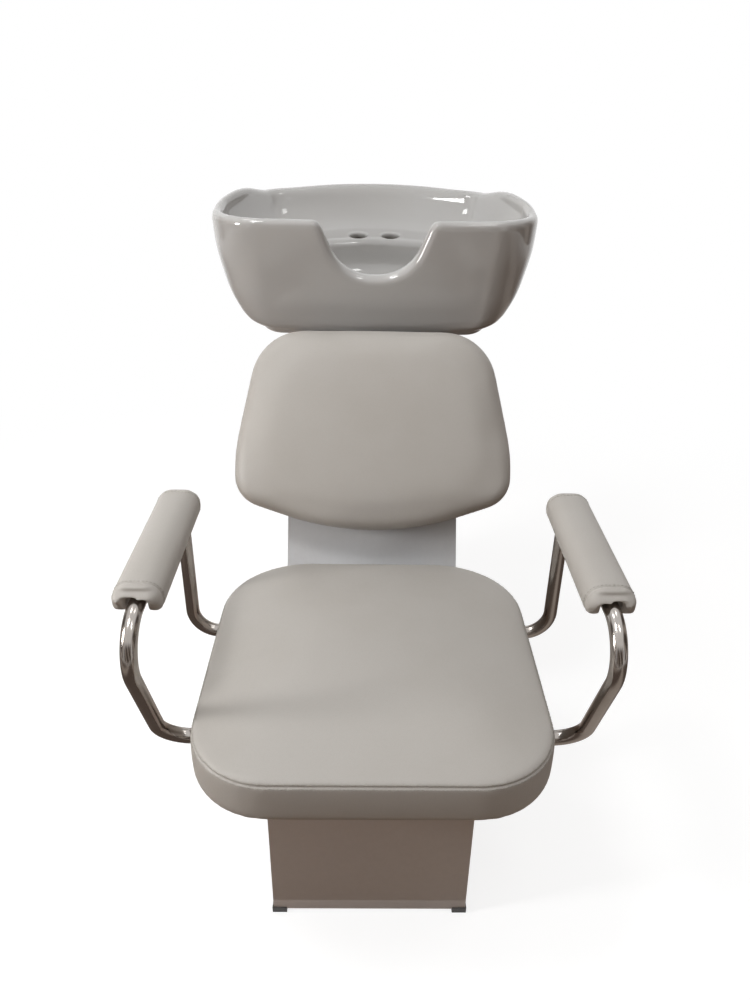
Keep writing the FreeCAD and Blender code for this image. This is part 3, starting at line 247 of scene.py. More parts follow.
def pebble_grain():
    """Fine pebbled skin of coated fabric: raised cells and the creases between them."""
    group, given, out = new_group("Pebble grain", [("Scale", FLOAT, 700.0)],
                                  [("Height", FLOAT), ("Crease", FLOAT)])
    place = object_coordinates(group)
    cells = node(group, "ShaderNodeTexVoronoi", feature="DISTANCE_TO_EDGE")
    group.links.new(place, cells.inputs["Vector"])
    group.links.new(given.outputs["Scale"], cells.inputs["Scale"])
    edge = ramp(group, cells.outputs["Distance"], 0.0, 0.22)
    cloudy = noise(group, place, maths(group, "MULTIPLY", given.outputs["Scale"], 0.45), 4.0, 0.6)
    height = maths(group, "ADD", maths(group, "MULTIPLY", edge, 0.6), maths(group, "MULTIPLY", cloudy, 0.4))
    put_out(group, out, Height=height, Crease=maths(group, "SUBTRACT", 1.0, edge))
    return group


def two_colour_group(name, other, other_default, *numbers):
    """Group that takes a colour and another one, and puts out a colour and its mask."""
    inputs = [("Colour", COLOUR, (0.5, 0.5, 0.5, 1.0)), (other, COLOUR, other_default)]
    inputs += [(number, FLOAT, default) for number, default in numbers]
    return new_group(name, inputs, [("Colour", COLOUR), ("Mask", FLOAT)])


def put_out_blend(group, given, out, other, mask):
    """Puts out the two given colours, mixed by a mask, and the mask."""
    mixed = blend_colours(group, mask, given.outputs["Colour"], given.outputs[other])
    put_out(group, out, Colour=mixed, Mask=mask)
    return group


def mottle():
    """Slow, uneven change between two colours."""
    other = "Other colour"
    group, given, out = two_colour_group("Mottle", other, (0.4, 0.4, 0.4, 1.0), ("Scale", 8.0),
                                         ("Amount", 0.5))
    cloud = noise(group, object_coordinates(group), given.outputs["Scale"], 5.0, 0.55)
    mask = maths(group, "MULTIPLY", ramp(group, cloud, 0.35, 0.7), given.outputs["Amount"])
    return put_out_blend(group, given, out, other, mask)


def settled_dust():
    """Thin dust on faces that look up, thicker near the floor."""
    other = "Dust colour"
    group, given, out = two_colour_group("Settled dust", other, (0.36, 0.33, 0.29, 1.0), ("Amount", 0.2))
    upward = ramp(group, separated(group, geometry(group, "Normal"))["Z"], 0.2, 1.0)
    place = separated(group, object_coordinates(group))
    low = maths(group, "SUBTRACT", 1.0, ramp(group, place["Z"], 0.0, 0.12))
    patches = noise(group, object_coordinates(group), 26.0, 6.0, 0.6)
    cover = maths(group, "MULTIPLY", maths(group, "ADD", maths(group, "MULTIPLY", upward, 0.6), low), patches)
    mask = maths(group, "MINIMUM", maths(group, "MULTIPLY", cover, given.outputs["Amount"]), 1.0)
    return put_out_blend(group, given, out, other, mask)


def orange_peel():
    """Slight waviness of powder coat and glaze."""
    group, given, out = new_group("Orange peel", [("Scale", FLOAT, 180.0)],
                                  [("Height", FLOAT), ("Speckle", FLOAT)])
    place = object_coordinates(group)
    waves = noise(group, place, given.outputs["Scale"], 2.0, 0.4)
    speckle = noise(group, place, maths(group, "MULTIPLY", given.outputs["Scale"], 5.0), 2.0, 0.5)
    put_out(group, out, Height=maths(group, "ADD", waves, maths(group, "MULTIPLY", speckle, 0.15)),
            Speckle=ramp(group, speckle, 0.62, 0.8))
    return group


def edge_wear():
    """Mask and colour for rubbed convex edges."""
    other = "Worn colour"
    group, given, out = two_colour_group("Edge wear", other, (0.6, 0.6, 0.6, 1.0), ("Amount", 0.5))
    breakup = noise(group, object_coordinates(group), 120.0, 4.0, 0.6)
    rubbed = maths(group, "MULTIPLY", ramp(group, geometry(group, "Pointiness"), 0.53, 0.62),
                   ramp(group, breakup, 0.35, 0.65))
    return put_out_blend(group, given, out, other, maths(group, "MULTIPLY", rubbed, given.outputs["Amount"]))


def drawn_lines():
    """Fine lines that drawing or rolling leaves in metal."""
    group, given, out = new_group("Drawn lines", [("Across", FLOAT, 900.0), ("Along", FLOAT, 12.0)],
                                  [("Height", FLOAT), ("Streak", FLOAT)])
    stretch = group.nodes.new("ShaderNodeCombineXYZ")
    for axis, number in (("X", "Along"), ("Y", "Across"), ("Z", "Across")):
        group.links.new(given.outputs[number], stretch.inputs[axis])
    scaled = node(group, "ShaderNodeVectorMath", operation="MULTIPLY")
    group.links.new(object_coordinates(group), scaled.inputs[0])
    group.links.new(stretch.outputs[0], scaled.inputs[1])
    lines = noise(group, scaled.outputs[0], 1.0, 3.0, 0.6)
    put_out(group, out, Height=lines, Streak=ramp(group, lines, 0.3, 0.75))
    return group


EFFECTS = {"pebble_grain": pebble_grain, "mottle": mottle, "settled_dust": settled_dust,
           "orange_peel": orange_peel, "edge_wear": edge_wear, "drawn_lines": drawn_lines}
effect_groups = {}


def effect(tree, name, **values):
    """Places a shared effect in a material; sockets are linked, numbers and colours are set."""
    if name not in effect_groups:
        effect_groups[name] = EFFECTS[name]()
    made = tree.nodes.new("ShaderNodeGroup")
    made.node_tree = effect_groups[name]
    for key, value in values.items():
        socket = made.inputs[key.replace("_", " ")]
        if isinstance(value, (int, float)):
            socket.default_value = value
        elif isinstance(value, tuple):
            socket.default_value = value + (1.0,)
        else:
            tree.links.new(value, socket)
    return made.outputs


# Materials

finishes = {}


def shade(colour, factor, warm=0.0):
    """A colour made darker or lighter, and a little warmer."""
    r, g, b = colour
    return (min(1.0, r * factor * (1 + warm)), min(1.0, g * factor), min(1.0, b * factor * (1 - warm)))


def new_material(name):
    """Empty material with its node tree and shader."""
    material = bpy.data.materials.new(name)
    material.use_nodes = True
    return material, material.node_tree, material.node_tree.nodes["Principled BSDF"]


def set_shader(shader, **values):
    for key, value in values.items():
        shader.inputs[key.replace("_", " ")].default_value = value


def add_bump(tree, shader, height, depth, strength=1.0):
    """Bump from a height that runs from 0 to 1; depth is in metres."""
    bump = node(tree, "ShaderNodeBump", Strength=strength, Distance=depth)
    tree.links.new(height, bump.inputs["Height"])
    tree.links.new(bump.outputs["Normal"], shader.inputs["Normal"])


def roughness_between(tree, shader, mask, low, high):
    """Roughness that runs from low to high with a mask."""
    made = node(tree, "ShaderNodeMapRange", To_Min=low, To_Max=high)
    tree.links.new(mask, made.inputs["Value"])
    tree.links.new(made.outputs["Result"], shader.inputs["Roughness"])


def make_finish(name, tone, texture, relief, rough, mottled=None, tinted=None, worn=None, dusty=None,
                **values):
    """Material built once: a colour and what varies it, a texture's relief, and a roughness.

    texture: effect and its sizes. relief: depth and strength. rough: masks to add up, then low and high,
    or one number. mottled: other colour, scale, amount. tinted: mask, amount, colour. worn and dusty:
    colour, amount."""
    if name in finishes:
        return finishes[name]
    finishes[name], tree, shader = new_material(name)
    kind, texture_sizes = texture
    grain = effect(tree, kind, **texture_sizes)
    masks = {socket.name: socket for socket in grain}
    if mottled:
        other, scale, amount = mottled
        patches = effect(tree, "mottle", Colour=tone, Other_colour=other, Scale=scale, Amount=amount)
        tone, masks["Mottle"] = patches["Colour"], patches["Mask"]
    if tinted:
        mask, amount, other = tinted
        tone = blend_colours(tree, maths(tree, "MULTIPLY", masks[mask], amount), tone, other)
    if worn:
        tone = effect(tree, "edge_wear", Colour=tone, Worn_colour=worn[0], Amount=worn[1])["Colour"]
    if dusty:
        dust = effect(tree, "settled_dust", Colour=tone, Dust_colour=dusty[0], Amount=dusty[1])
        tone, masks["Dust"] = dust["Colour"], dust["Mask"]
    tree.links.new(tone, shader.inputs["Base Color"])
    set_shader(shader, **values)
    if isinstance(rough, float):
        set_shader(shader, Roughness=rough)
    else:
        first, *others, low, high = rough
        total = masks[first]
        for mask in others:
            total = maths(tree, "ADD", total, masks[mask])
        roughness_between(tree, shader, total, low, high)
    add_bump(tree, shader, grain["Height"], *relief)
    return finishes[name]


def leatherette():
    base = base_colour("leatherette")
    return make_finish("leatherette", base, ("pebble_grain", {"Scale": 620.0}), (0.00012, 0.55),
                       ("Crease", 0.43, 0.6), mottled=(shade(base, 0.93, 0.012), 5.0, 0.8),
                       tinted=("Crease", 0.16, shade(base, 0.72, 0.02)), worn=(shade(base, 1.08), 0.25),
                       Specular_IOR_Level=0.42, Sheen_Weight=0.05, Sheen_Roughness=0.4)


def thread():
    base = base_colour("thread")
    return make_finish("sewing thread", shade(base, 0.8),
                       ("drawn_lines", {"Across": 2600.0, "Along": 2600.0}), (0.0002, 0.6), 0.7,
                       tinted=("Streak", 1.0, base))


def glaze():
    base = base_colour("glaze")
    return make_finish("white glaze", base, ("orange_peel", {"Scale": 42.0}), (0.0006, 0.05),
                       ("Dust", 0.055, 0.25), mottled=(shade(base, 0.95, 0.01), 3.0, 0.8),
                       dusty=(shade(base, 0.8, 0.03), 0.10), Specular_IOR_Level=0.55, Coat_Weight=0.5,
                       Coat_Roughness=0.03)


def bare_ceramic():
    base = shade(base_colour("glaze"), 0.92, 0.06)
    return make_finish("unglazed ceramic", base, ("orange_peel", {"Scale": 420.0}), (0.0003, 0.5), 0.75,
                       tinted=("Speckle", 1.0, shade(base, 0.8, 0.03)))


def powder_paint(name, base):
    return make_finish(name, base, ("orange_peel", {"Scale": 260.0}), (0.00018, 0.35),
                       ("Dust", "Speckle", 0.36, 0.6), mottled=(shade(base, 0.94, 0.02), 4.0, 0.7),
                       worn=(shade(base, 1.12), 0.5), dusty=(shade(base, 0.72, 0.06), 0.5),
                       Specular_IOR_Level=0.45)


def chrome():
    base = base_colour("chrome")
    return make_finish("chrome plate", base, ("drawn_lines", {"Across": 500.0, "Along": 60.0}),
                       (0.00004, 0.15), ("Mottle", 0.14, 0.23),
                       mottled=(shade(base, 0.82, 0.03), 18.0, 0.7), Metallic=1.0)


def zinc_steel():
    return make_finish("zinc plated steel", (0.42, 0.43, 0.44),
                       ("drawn_lines", {"Across": 700.0, "Along": 40.0}), (0.00008, 0.35),
                       ("Streak", 0.26, 0.46), mottled=((0.30, 0.31, 0.33), 60.0, 0.8),
                       worn=((0.6, 0.6, 0.6), 0.7), Metallic=1.0)


def black_steel():
    return make_finish("black powder coat", (0.028, 0.028, 0.030), ("orange_peel", {"Scale": 300.0}),
                       (0.0002, 0.4), ("Dust", "Speckle", 0.38, 0.66), worn=((0.16, 0.16, 0.16), 0.8),
                       dusty=((0.16, 0.15, 0.13), 0.5))


def black_plastic():
    return make_finish("black plastic", base_colour("black"), ("pebble_grain", {"Scale": 1400.0}),
                       (0.00008, 0.4), ("Dust", 0.42, 0.7), worn=((0.09, 0.09, 0.09), 0.7),
                       dusty=((0.12, 0.11, 0.10), 0.4))


def pale_plastic(name, base):
    return make_finish(name, base, ("orange_peel", {"Scale": 500.0}), (0.0001, 0.25), ("Speckle", 0.34, 0.5),
                       mottled=(shade(base, 0.9, 0.02), 30.0, 0.6), Subsurface_Weight=0.05)


def rubber():
    return make_finish("black rubber", (0.022, 0.022, 0.022), ("pebble_grain", {"Scale": 2200.0}),
                       (0.0001, 0.5), 0.82, mottled=((0.05, 0.048, 0.045), 40.0, 0.7))


VENEER_PITCH = 0.0034


def plywood():
    """Boards with grain on the faces and thin layers at the edges."""
    if "plywood" in finishes:
        return finishes["plywood"]
    finishes["plywood"], tree, shader = new_material("plywood")
    base = base_colour("plywood")
    grain = effect(tree, "drawn_lines", Across=180.0, Along=9.0)
    pale = blend_colours(tree, grain["Streak"], shade(base, 0.72), base)
    place = separated(tree, object_coordinates(tree))
    layers = maths(tree, "SINE", maths(tree, "MULTIPLY", place["Z"], 2 * math.pi / VENEER_PITCH))
    facing = separated(tree, geometry(tree, "Normal"))
    upright = maths(tree, "SUBTRACT", 1.0, maths(tree, "ABSOLUTE", facing["Z"]))
    veneer = maths(tree, "MULTIPLY", ramp(tree, layers, -0.2, 0.4), ramp(tree, upright, 0.4, 0.8))
    tree.links.new(blend_colours(tree, maths(tree, "MULTIPLY", veneer, 0.5), pale, shade(base, 0.45)),
                   shader.inputs["Base Color"])
    roughness_between(tree, shader, grain["Streak"], 0.72, 0.56)
    add_bump(tree, shader, grain["Height"], 0.0004, 0.4)
    return finishes["plywood"]


def give(piece, material):
    """Puts one finish on a piece, in place of what it had."""
    if len(piece.data.materials) == 0:
        piece.data.materials.append(material)
    for index in range(len(piece.data.materials)):
        piece.data.materials[index] = material


# Mesh helpers

def shade_smooth(mesh):
    mesh.polygons.foreach_set("use_smooth", [True] * len(mesh.polygons))


def placed(name, data):
    """New object in the scene."""
    piece = bpy.data.objects.new(name, data)
    bpy.context.scene.collection.objects.link(piece)
    return piece


def new_piece(name, points, faces):
    """New object from points and faces, shaded smooth."""
    mesh = bpy.data.meshes.new(name)
    mesh.from_pydata([tuple(p) for p in points], [], [tuple(int(i) for i in f) for f in faces])
    mesh.validate()
    shade_smooth(mesh)
    return placed(name, mesh)


def settle_modifiers(piece):
    """Writes the result of a piece's modifiers into its mesh."""
    bpy.context.view_layer.update()
    mesh = bpy.data.meshes.new_from_object(piece.evaluated_get(bpy.context.evaluated_depsgraph_get()))
    piece.modifiers.clear()
    old, piece.data = piece.data, mesh
    bpy.data.meshes.remove(old)
    shade_smooth(mesh)


def modified(piece, name, kind, **values):
    """Adds a modifier with its settings."""
    made = piece.modifiers.new(name, kind)
    for key, value in values.items():
        setattr(made, key, value)
    return made


def point_array(piece, kind="co"):
    """Places of the points, or their normals."""
    values = np.zeros(len(piece.data.vertices) * 3, np.float32)
    piece.data.vertices.foreach_get(kind, values)
    return values.reshape(-1, 3).astype(float)


def put_points(piece, places):
    piece.data.vertices.foreach_set("co", np.asarray(places, np.float32).ravel())
    piece.data.update()


def edge_ends(piece):
    """The two points of each edge."""
    ends = np.zeros(len(piece.data.edges) * 2, np.int32)
    piece.data.edges.foreach_get("vertices", ends)
    return ends.reshape(-1, 2)


def evened(values, ends, rounds, forward, backward=0.0, free=1.0):
    """Values at the points, evened out along the edges; a step backward keeps the form's size."""
    count = len(values)
    near = np.maximum(np.bincount(ends.ravel(), minlength=count), 1)[:, None]
    for _ in range(rounds):
        for share in (forward, backward):
            if share:
                total = [np.bincount(ends[:, 0], values[ends[:, 1], axis], count)
                         + np.bincount(ends[:, 1], values[ends[:, 0], axis], count) for axis in range(3)]
                values = (values + share * (np.stack(total, axis=1) / near - values)) * free
    return values


def inset_corners(corners, inset):
    """The same outline of (a, b, radius) corners, moved inwards on every side."""
    moved = []
    count = len(corners)
    for index, (a, b, radius) in enumerate(corners):
        before, after = corners[index - 1], corners[(index + 1) % count]
        first = Vector((a - before[0], b - before[1])).normalized()
        second = Vector((after[0] - a, after[1] - b)).normalized()
        normals = Vector((-first.y - second.y, first.x + second.x))
        shift = normals * (2 * inset / normals.dot(normals))
        turn = first.x * second.y - first.y * second.x
        moved.append((a + shift.x, b + shift.y, max(0.0005, radius - inset if turn > 0 else radius + inset)))
    return moved


def outline_points(corners, arc_steps, side_steps):
    """Closed outline as points: arcs at the corners and even steps along the sides."""
    count = len(corners)
    starts, centres, ends = [], [], []
    for index, (a, b, radius) in enumerate(corners):
        here = Vector((a, b))
        back = (Vector(corners[index - 1][:2]) - here).normalized()
        ahead = (Vector(corners[(index + 1) % count][:2]) - here).normalized()
        half_angle = back.angle(ahead) / 2
        setback = radius / math.tan(half_angle)
        starts.append(here + back * setback)
        ends.append(here + ahead * setback)
        centres.append(here + (back + ahead).normalized() * (radius / math.sin(half_angle)))
    points = []
    for index in range(count):
        first, last = starts[index] - centres[index], ends[index] - centres[index]
        sweep = first.angle_signed(last)
        for step in range(arc_steps):
            angle = -sweep * step / arc_steps
            spun = Matrix.Rotation(angle, 2) @ first
            points.append(centres[index] + spun)
        following = starts[(index + 1) % count]
        for step in range(side_steps):
            points.append(ends[index].lerp(following, step / side_steps))
    return [(p.x, p.y) for p in points]


def band(low, high, count):
    """Quads between two rings of points, given by the numbers of their first points."""
    return [(low + i, low + (i + 1) % count, high + (i + 1) % count, high + i) for i in range(count)]


def stacked_rings(name, rings):
    """Closed piece from rings of points that all have the same count."""
    count = len(rings[0])
    last = (len(rings) - 1) * count
    faces = [face for low in range(0, last, count) for face in band(low, low + count, count)]
    faces += [tuple(reversed(range(count))), tuple(last + index for index in range(count))]
    return new_piece(name, [p for ring in rings for p in ring], faces)


def remesh(piece, voxel, smoothing):
    """Even mesh over a rough form, with its steps smoothed away."""
    modified(piece, "Even mesh", "REMESH", mode="VOXEL", voxel_size=voxel, use_smooth_shade=True)
    modified(piece, "Soften", "SMOOTH", factor=0.5, iterations=smoothing)
    settle_modifiers(piece)


COVER = {"vertex_group_mass": "held", "quality": 6, "mass": 0.3, "tension_stiffness": 22,
         "compression_stiffness": 22, "shear_stiffness": 8, "bending_stiffness": 1.5, "air_damping": 4,
         "use_pressure": True}


def inflate(piece, held, pressure, most, evening=18, frames=20):
    """Blows the cover up like stuffed fabric. held gives how firmly each point is kept."""
    start = point_array(piece)
    group = piece.vertex_groups.new(name="held")
    weights = held(start)
    for level in (0.25, 0.5, 0.75, 1.0):
        chosen = np.nonzero(np.abs(weights - level) <= 0.125)[0]
        if len(chosen):
            group.add([int(i) for i in chosen], level, "REPLACE")
    cloth = piece.modifiers.new("Cover", "CLOTH")
    for key, value in COVER.items():
        setattr(cloth.settings, key, value)
    cloth.settings.uniform_pressure_force = pressure
    cloth.settings.effector_weights.gravity = 0
    cloth.point_cache.frame_start, cloth.point_cache.frame_end = 1, frames
    scene = bpy.context.scene
    for number in range(1, frames + 1):
        scene.frame_set(number)
    blown = piece.evaluated_get(bpy.context.evaluated_depsgraph_get())
    mesh = blown.to_mesh()
    end = np.zeros(len(mesh.vertices) * 3, np.float32)
    mesh.vertices.foreach_get("co", end)
    blown.to_mesh_clear()
    piece.modifiers.clear()
    piece.vertex_groups.clear()
    scene.frame_set(1)
    move = end.reshape(-1, 3).astype(float) - start
    distance = np.linalg.norm(move, axis=1, keepdims=True)
    move *= np.minimum(1.0, most / np.maximum(distance, 1e-9))
    move = evened(move, edge_ends(piece), evening, 0.5, free=(1 - weights)[:, None])
    put_points(piece, start + move)


def refine(piece, smoothing=2):
    """One subdivision, so that the cover is smooth close up."""
    modified(piece, "Soften", "SMOOTH", factor=0.5, iterations=smoothing)
    modified(piece, "Finer", "SUBSURF", levels=1, render_levels=1)
    settle_modifiers(piece)


def on_surface(piece, guide, lift=0.0):
    """The nearest places on a piece for each guide point, with the normals there."""
    mesh = piece.data
    tree = BVHTree.FromPolygons([v.co for v in mesh.vertices], [p.vertices for p in mesh.polygons])
    places, normals = [], []
    for point in guide:
        near, normal, _, _ = tree.find_nearest(Vector(point))
        places.append(near + normal * lift)
        normals.append(normal)
    return places, normals


SEAM_STEP = 0.002
# Along the stitch, its width and its height over the cover, as shares of its length and thread radius
STITCH_SHARES = ((-0.5, 0.25, -0.6), (-0.32, 0.9, 0.1), (0.0, 1.0, 0.55), (0.32, 0.9, 0.1), (0.5, 0.25, -0.6))


def even_steps(points, pitch, closed=True):
    """Points at even distances along a line of points."""
    line = np.array([tuple(p) for p in points], float)
    if closed:
        line = np.vstack([line, line[:1]])
    run = np.concatenate([[0.0], np.cumsum(np.linalg.norm(np.diff(line, axis=0), axis=1))])
    count = max(2, int(round(run[-1] / pitch)))
    marks = np.linspace(0.0, run[-1], count, endpoint=not closed)
    return np.stack([np.interp(marks, run, line[:, axis]) for axis in range(3)], axis=1)


def mark_tree(paths):
    """Search tree over all points of the seams."""
    marks = np.vstack(paths)
    tree = KDTree(len(marks))
    for index, place in enumerate(marks):
        tree.insert(Vector(place), index)
    tree.balance()
    return tree


def pull_in(piece, paths, depth, width, pucker, pitch):
    """Draws the cover in along seams, with small puckers."""
    tree = mark_tree(paths)
    places, normals = point_array(piece), point_array(piece, "normal")
    for index in range(len(places)):
        _, mark, distance = tree.find(Vector(places[index]))
        if distance > width * 5:
            continue
        fall = math.exp(-(distance / width) ** 2)
        ripple = math.sin(2 * math.pi * mark * SEAM_STEP / pitch) * math.exp(-(distance / (width * 2.2)) ** 2)
        places[index] -= normals[index] * (depth * fall + pucker * ripple * (1 - fall))
    put_points(piece, places)


def finer_near(piece, paths, reach):
    """Splits the faces near a seam, so that it can be narrow."""
    tree = mark_tree(paths)
    work = bmesh.new()
    work.from_mesh(piece.data)
    near = {v for v in work.verts if tree.find(v.co)[2] < reach}
    edges = [e for e in work.edges if e.verts[0] in near and e.verts[1] in near]
    bmesh.ops.subdivide_edges(work, edges=edges, cuts=1, use_grid_fill=True, smooth=0.0)
    work.to_mesh(piece.data)
    work.free()
    shade_smooth(piece.data)


def stitches(name, places, normals, length, radius):
    """Row of short threads, each sunk at both ends."""
    points, faces = [], []
    count, around = len(places), 6
    for index in range(count):
        here = Vector(places[index])
        ahead = (Vector(places[(index + 1) % count]) - Vector(places[index - 1])).normalized()
        up = Vector(normals[index]).normalized()
        side = ahead.cross(up).normalized()
        base = len(points)
        for along, wide, rise in STITCH_SHARES:
            middle = here + ahead * (along * length) + up * (rise * radius)
            for step in range(around):
                angle = 2 * math.pi * step / around
                points.append(middle + (side * math.cos(angle) + up * math.sin(angle)) * (radius * wide))
        last = base + (len(STITCH_SHARES) - 1) * around
        for low in range(base, last, around):
            faces += band(low, low + around, around)
        faces.append(tuple(base + step for step in reversed(range(around))))
        faces.append(tuple(last + step for step in range(around)))
    return new_piece(name, points, faces)


def sew(piece, name, guides, rows, body, closed=True, reach=0.009, depth=1.0, width=0.0021, pucker=0.00035,
        pitch=0.011):
    """Pulls a seam in along each guide and sews rows of stitches beside it."""
    given = sizes()
    seams = [np.array([tuple(p) for p in on_surface(piece, even_steps(guide, SEAM_STEP, closed))[0]])
             for guide in guides]
    finer_near(piece, seams, reach)
    pull_in(piece, seams, given.seam_depth * depth, width, pucker, pitch)
    used = slice(None) if closed else slice(1, -1)
    made = []
    for number, guide in enumerate(rows):
        steps = even_steps(guide, given.stitch_pitch, closed)
        places, normals = on_surface(piece, steps, given.thread_radius * 0.3)
        row = stitches(name + "_stitches_" + str(number + 1), places[used], normals[used],
                       given.stitch_length, given.thread_radius)
        give(row, thread())
        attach(row, body)
        made.append(row)
    return made


def upholster(piece, node_name):
    """Gives a sewn cover its leatherette, hides the cushion's CAD piece and puts the cover on the stand in
    its place.
    """
    give(piece, leatherette())
    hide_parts(node_name)
    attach(piece, "stand")


def softened(node_name, width, material, segments=2):
    """Copy of a rigid CAD piece with its sharp edges rounded, in its place."""
    source = frame["nodes"][node_name]
    piece = placed(node_name + "_finished", source.data.copy())
    work = bmesh.new()
    work.from_mesh(piece.data)
    bmesh.ops.remove_doubles(work, verts=work.verts, dist=0.00002)
    bmesh.ops.dissolve_limit(work, angle_limit=math.radians(0.6), verts=work.verts, edges=work.edges)
    work.to_mesh(piece.data)
    work.free()
    if "custom_normal" in piece.data.attributes:
        piece.data.attributes.remove(piece.data.attributes["custom_normal"])
    modified(piece, "Round edges", "BEVEL", width=width, segments=segments, limit_method="ANGLE",
             angle_limit=math.radians(35), harden_normals=False, use_clamp_overlap=True)
    modified(piece, "Flat faces", "WEIGHTED_NORMAL", keep_sharp=True)
    shade_smooth(piece.data)
    settle_modifiers(piece)
    give(piece, material)
    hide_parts(node_name)
    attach(piece, body_of(source)[0])
    return piece


# Seat cushion

SEAT = {"half": 0.250, "front": -0.605, "rear": -0.090, "front_radius": 0.115, "rear_radius": 0.140,
        "low": 0.384, "high": 0.458}


def cushion_voxel():
    return sizes().pad_voxel * 1.0


def mirrored_corners(right):
    """The same corners on the left, in the order that goes on round the outline."""
    return [(-a, b, radius) for a, b, radius in reversed(right)]


def seat_ring(z, inset):
    right = [(SEAT["half"], SEAT[end], SEAT[end + "_radius"]) for end in ("front", "rear")]
    corners = inset_corners(right + mirrored_corners(right), inset)
    return [(x, y, z) for x, y in outline_points(corners, 14, 12)]


class SALON_OT_seat_cushion(bpy.types.Operator):
    """Seat cushion: inflated cover, drawn-in seam and topstitching"""
    bl_idname = "salon.seat_cushion"
    bl_label = "Seat cushion"

    def execute(self, context):
        levels = ((0.3843, 0.0060), (0.3848, 0.0030), (0.3865, 0.0016), (0.391, 0.0010), (0.402, 0.0008),
                  (0.420, 0.0008), (0.436, 0.0012), (0.4465, 0.0022), (0.4500, 0.0060), (0.4530, 0.013),
                  (0.4550, 0.024), (0.4562, 0.042), (0.4568, 0.070), (0.4570, 0.100))
        seat = stacked_rings("seat_cover", [seat_ring(z, inset) for z, inset in levels])
        seam_z = sizes().seam_height
        remesh(seat, cushion_voxel(), 4)

        def held(places):
            low = np.clip((0.3925 - places[:, 2]) / 0.004, 0, 1)
            seam = np.clip(1.4 - np.abs(places[:, 2] - seam_z) / 0.003, 0, 1)
            inside = np.hypot(places[:, 0], places[:, 1] + 0.3475) < 0.18
            return np.round(np.maximum(low, np.where(inside, 0, seam)) * 4) / 4
        inflate(seat, held, 3.0, 0.012)
        refine(seat)
        seam = seat_ring(seam_z, 0.0005)
        above = seat_ring(seam_z + 0.0022, 0.0012)
        below = seat_ring(seam_z - 0.0024, 0.0)
        sew(seat, "seat", [seam], [above, below], "stand")
        self.soft_folds(seat)
        upholster(seat, "seat_cushion")
        return {"FINISHED"}

    def soft_folds(self, seat):
        """Two shallow pulls across the cover at the left of the seat."""
        places, normals = point_array(seat), point_array(seat, "normal")
        up = np.clip(normals[:, 2], 0, 1)
        for x0, y0, x1, y1, depth, width in ((-0.246, -0.430, -0.090, -0.330, 0.0016, 0.013),
                                             (-0.246, -0.400, -0.130, -0.270, 0.0009, 0.017)):
            run = np.array((x1 - x0, y1 - y0))
            length = np.hypot(*run)
            along = ((places[:, 0] - x0) * run[0] + (places[:, 1] - y0) * run[1]) / length
            across = ((places[:, 0] - x0) * run[1] - (places[:, 1] - y0) * run[0]) / length
            across = across + 0.006 * np.sin(along / length * math.pi)
            share = np.clip(along / length, 0, 1)
            fade = np.where((along > -0.01) & (along < length), (1 - share) ** 1.2, 0)
            places[:, 2] -= depth * up * fade * np.exp(-(across / width) ** 2)
        put_points(seat, places)


# Backrest cushion, built in axes that follow the raked panel

RAKE = math.radians(28.8)
RAKE_FOOT = Vector((0.0, -0.067, 0.359))
BACK = {"half": 0.254, "low_centre": 0.122, "length": 0.370, "off": 0.020, "crown": 0.013}


def from_rake(x, along, off):
    """Place given across, up the rake and off the panel."""
    y = RAKE_FOOT.y + along * math.sin(RAKE) - off * math.cos(RAKE)
    z = RAKE_FOOT.z + along * math.cos(RAKE) + off * math.sin(RAKE)
    return (x, y, z)


def back_corners():
    half, low, length = BACK["half"], BACK["low_centre"], BACK["length"]
    right = [(half, low + 0.157 * length, 0.058), (half, low + 0.39 * length, 0.320),
             (half * 0.82, low + 0.997 * length, 0.100)]
    return [(0.0, low - 0.066 * length, 0.500)] + right + [(0.0, low + length, 1.5)] + mirrored_corners(right)


def back_ring(off, inset):
    corners = inset_corners(back_corners(), inset)
    return [from_rake(x, along, off) for x, along in outline_points(corners, 12, 6)]


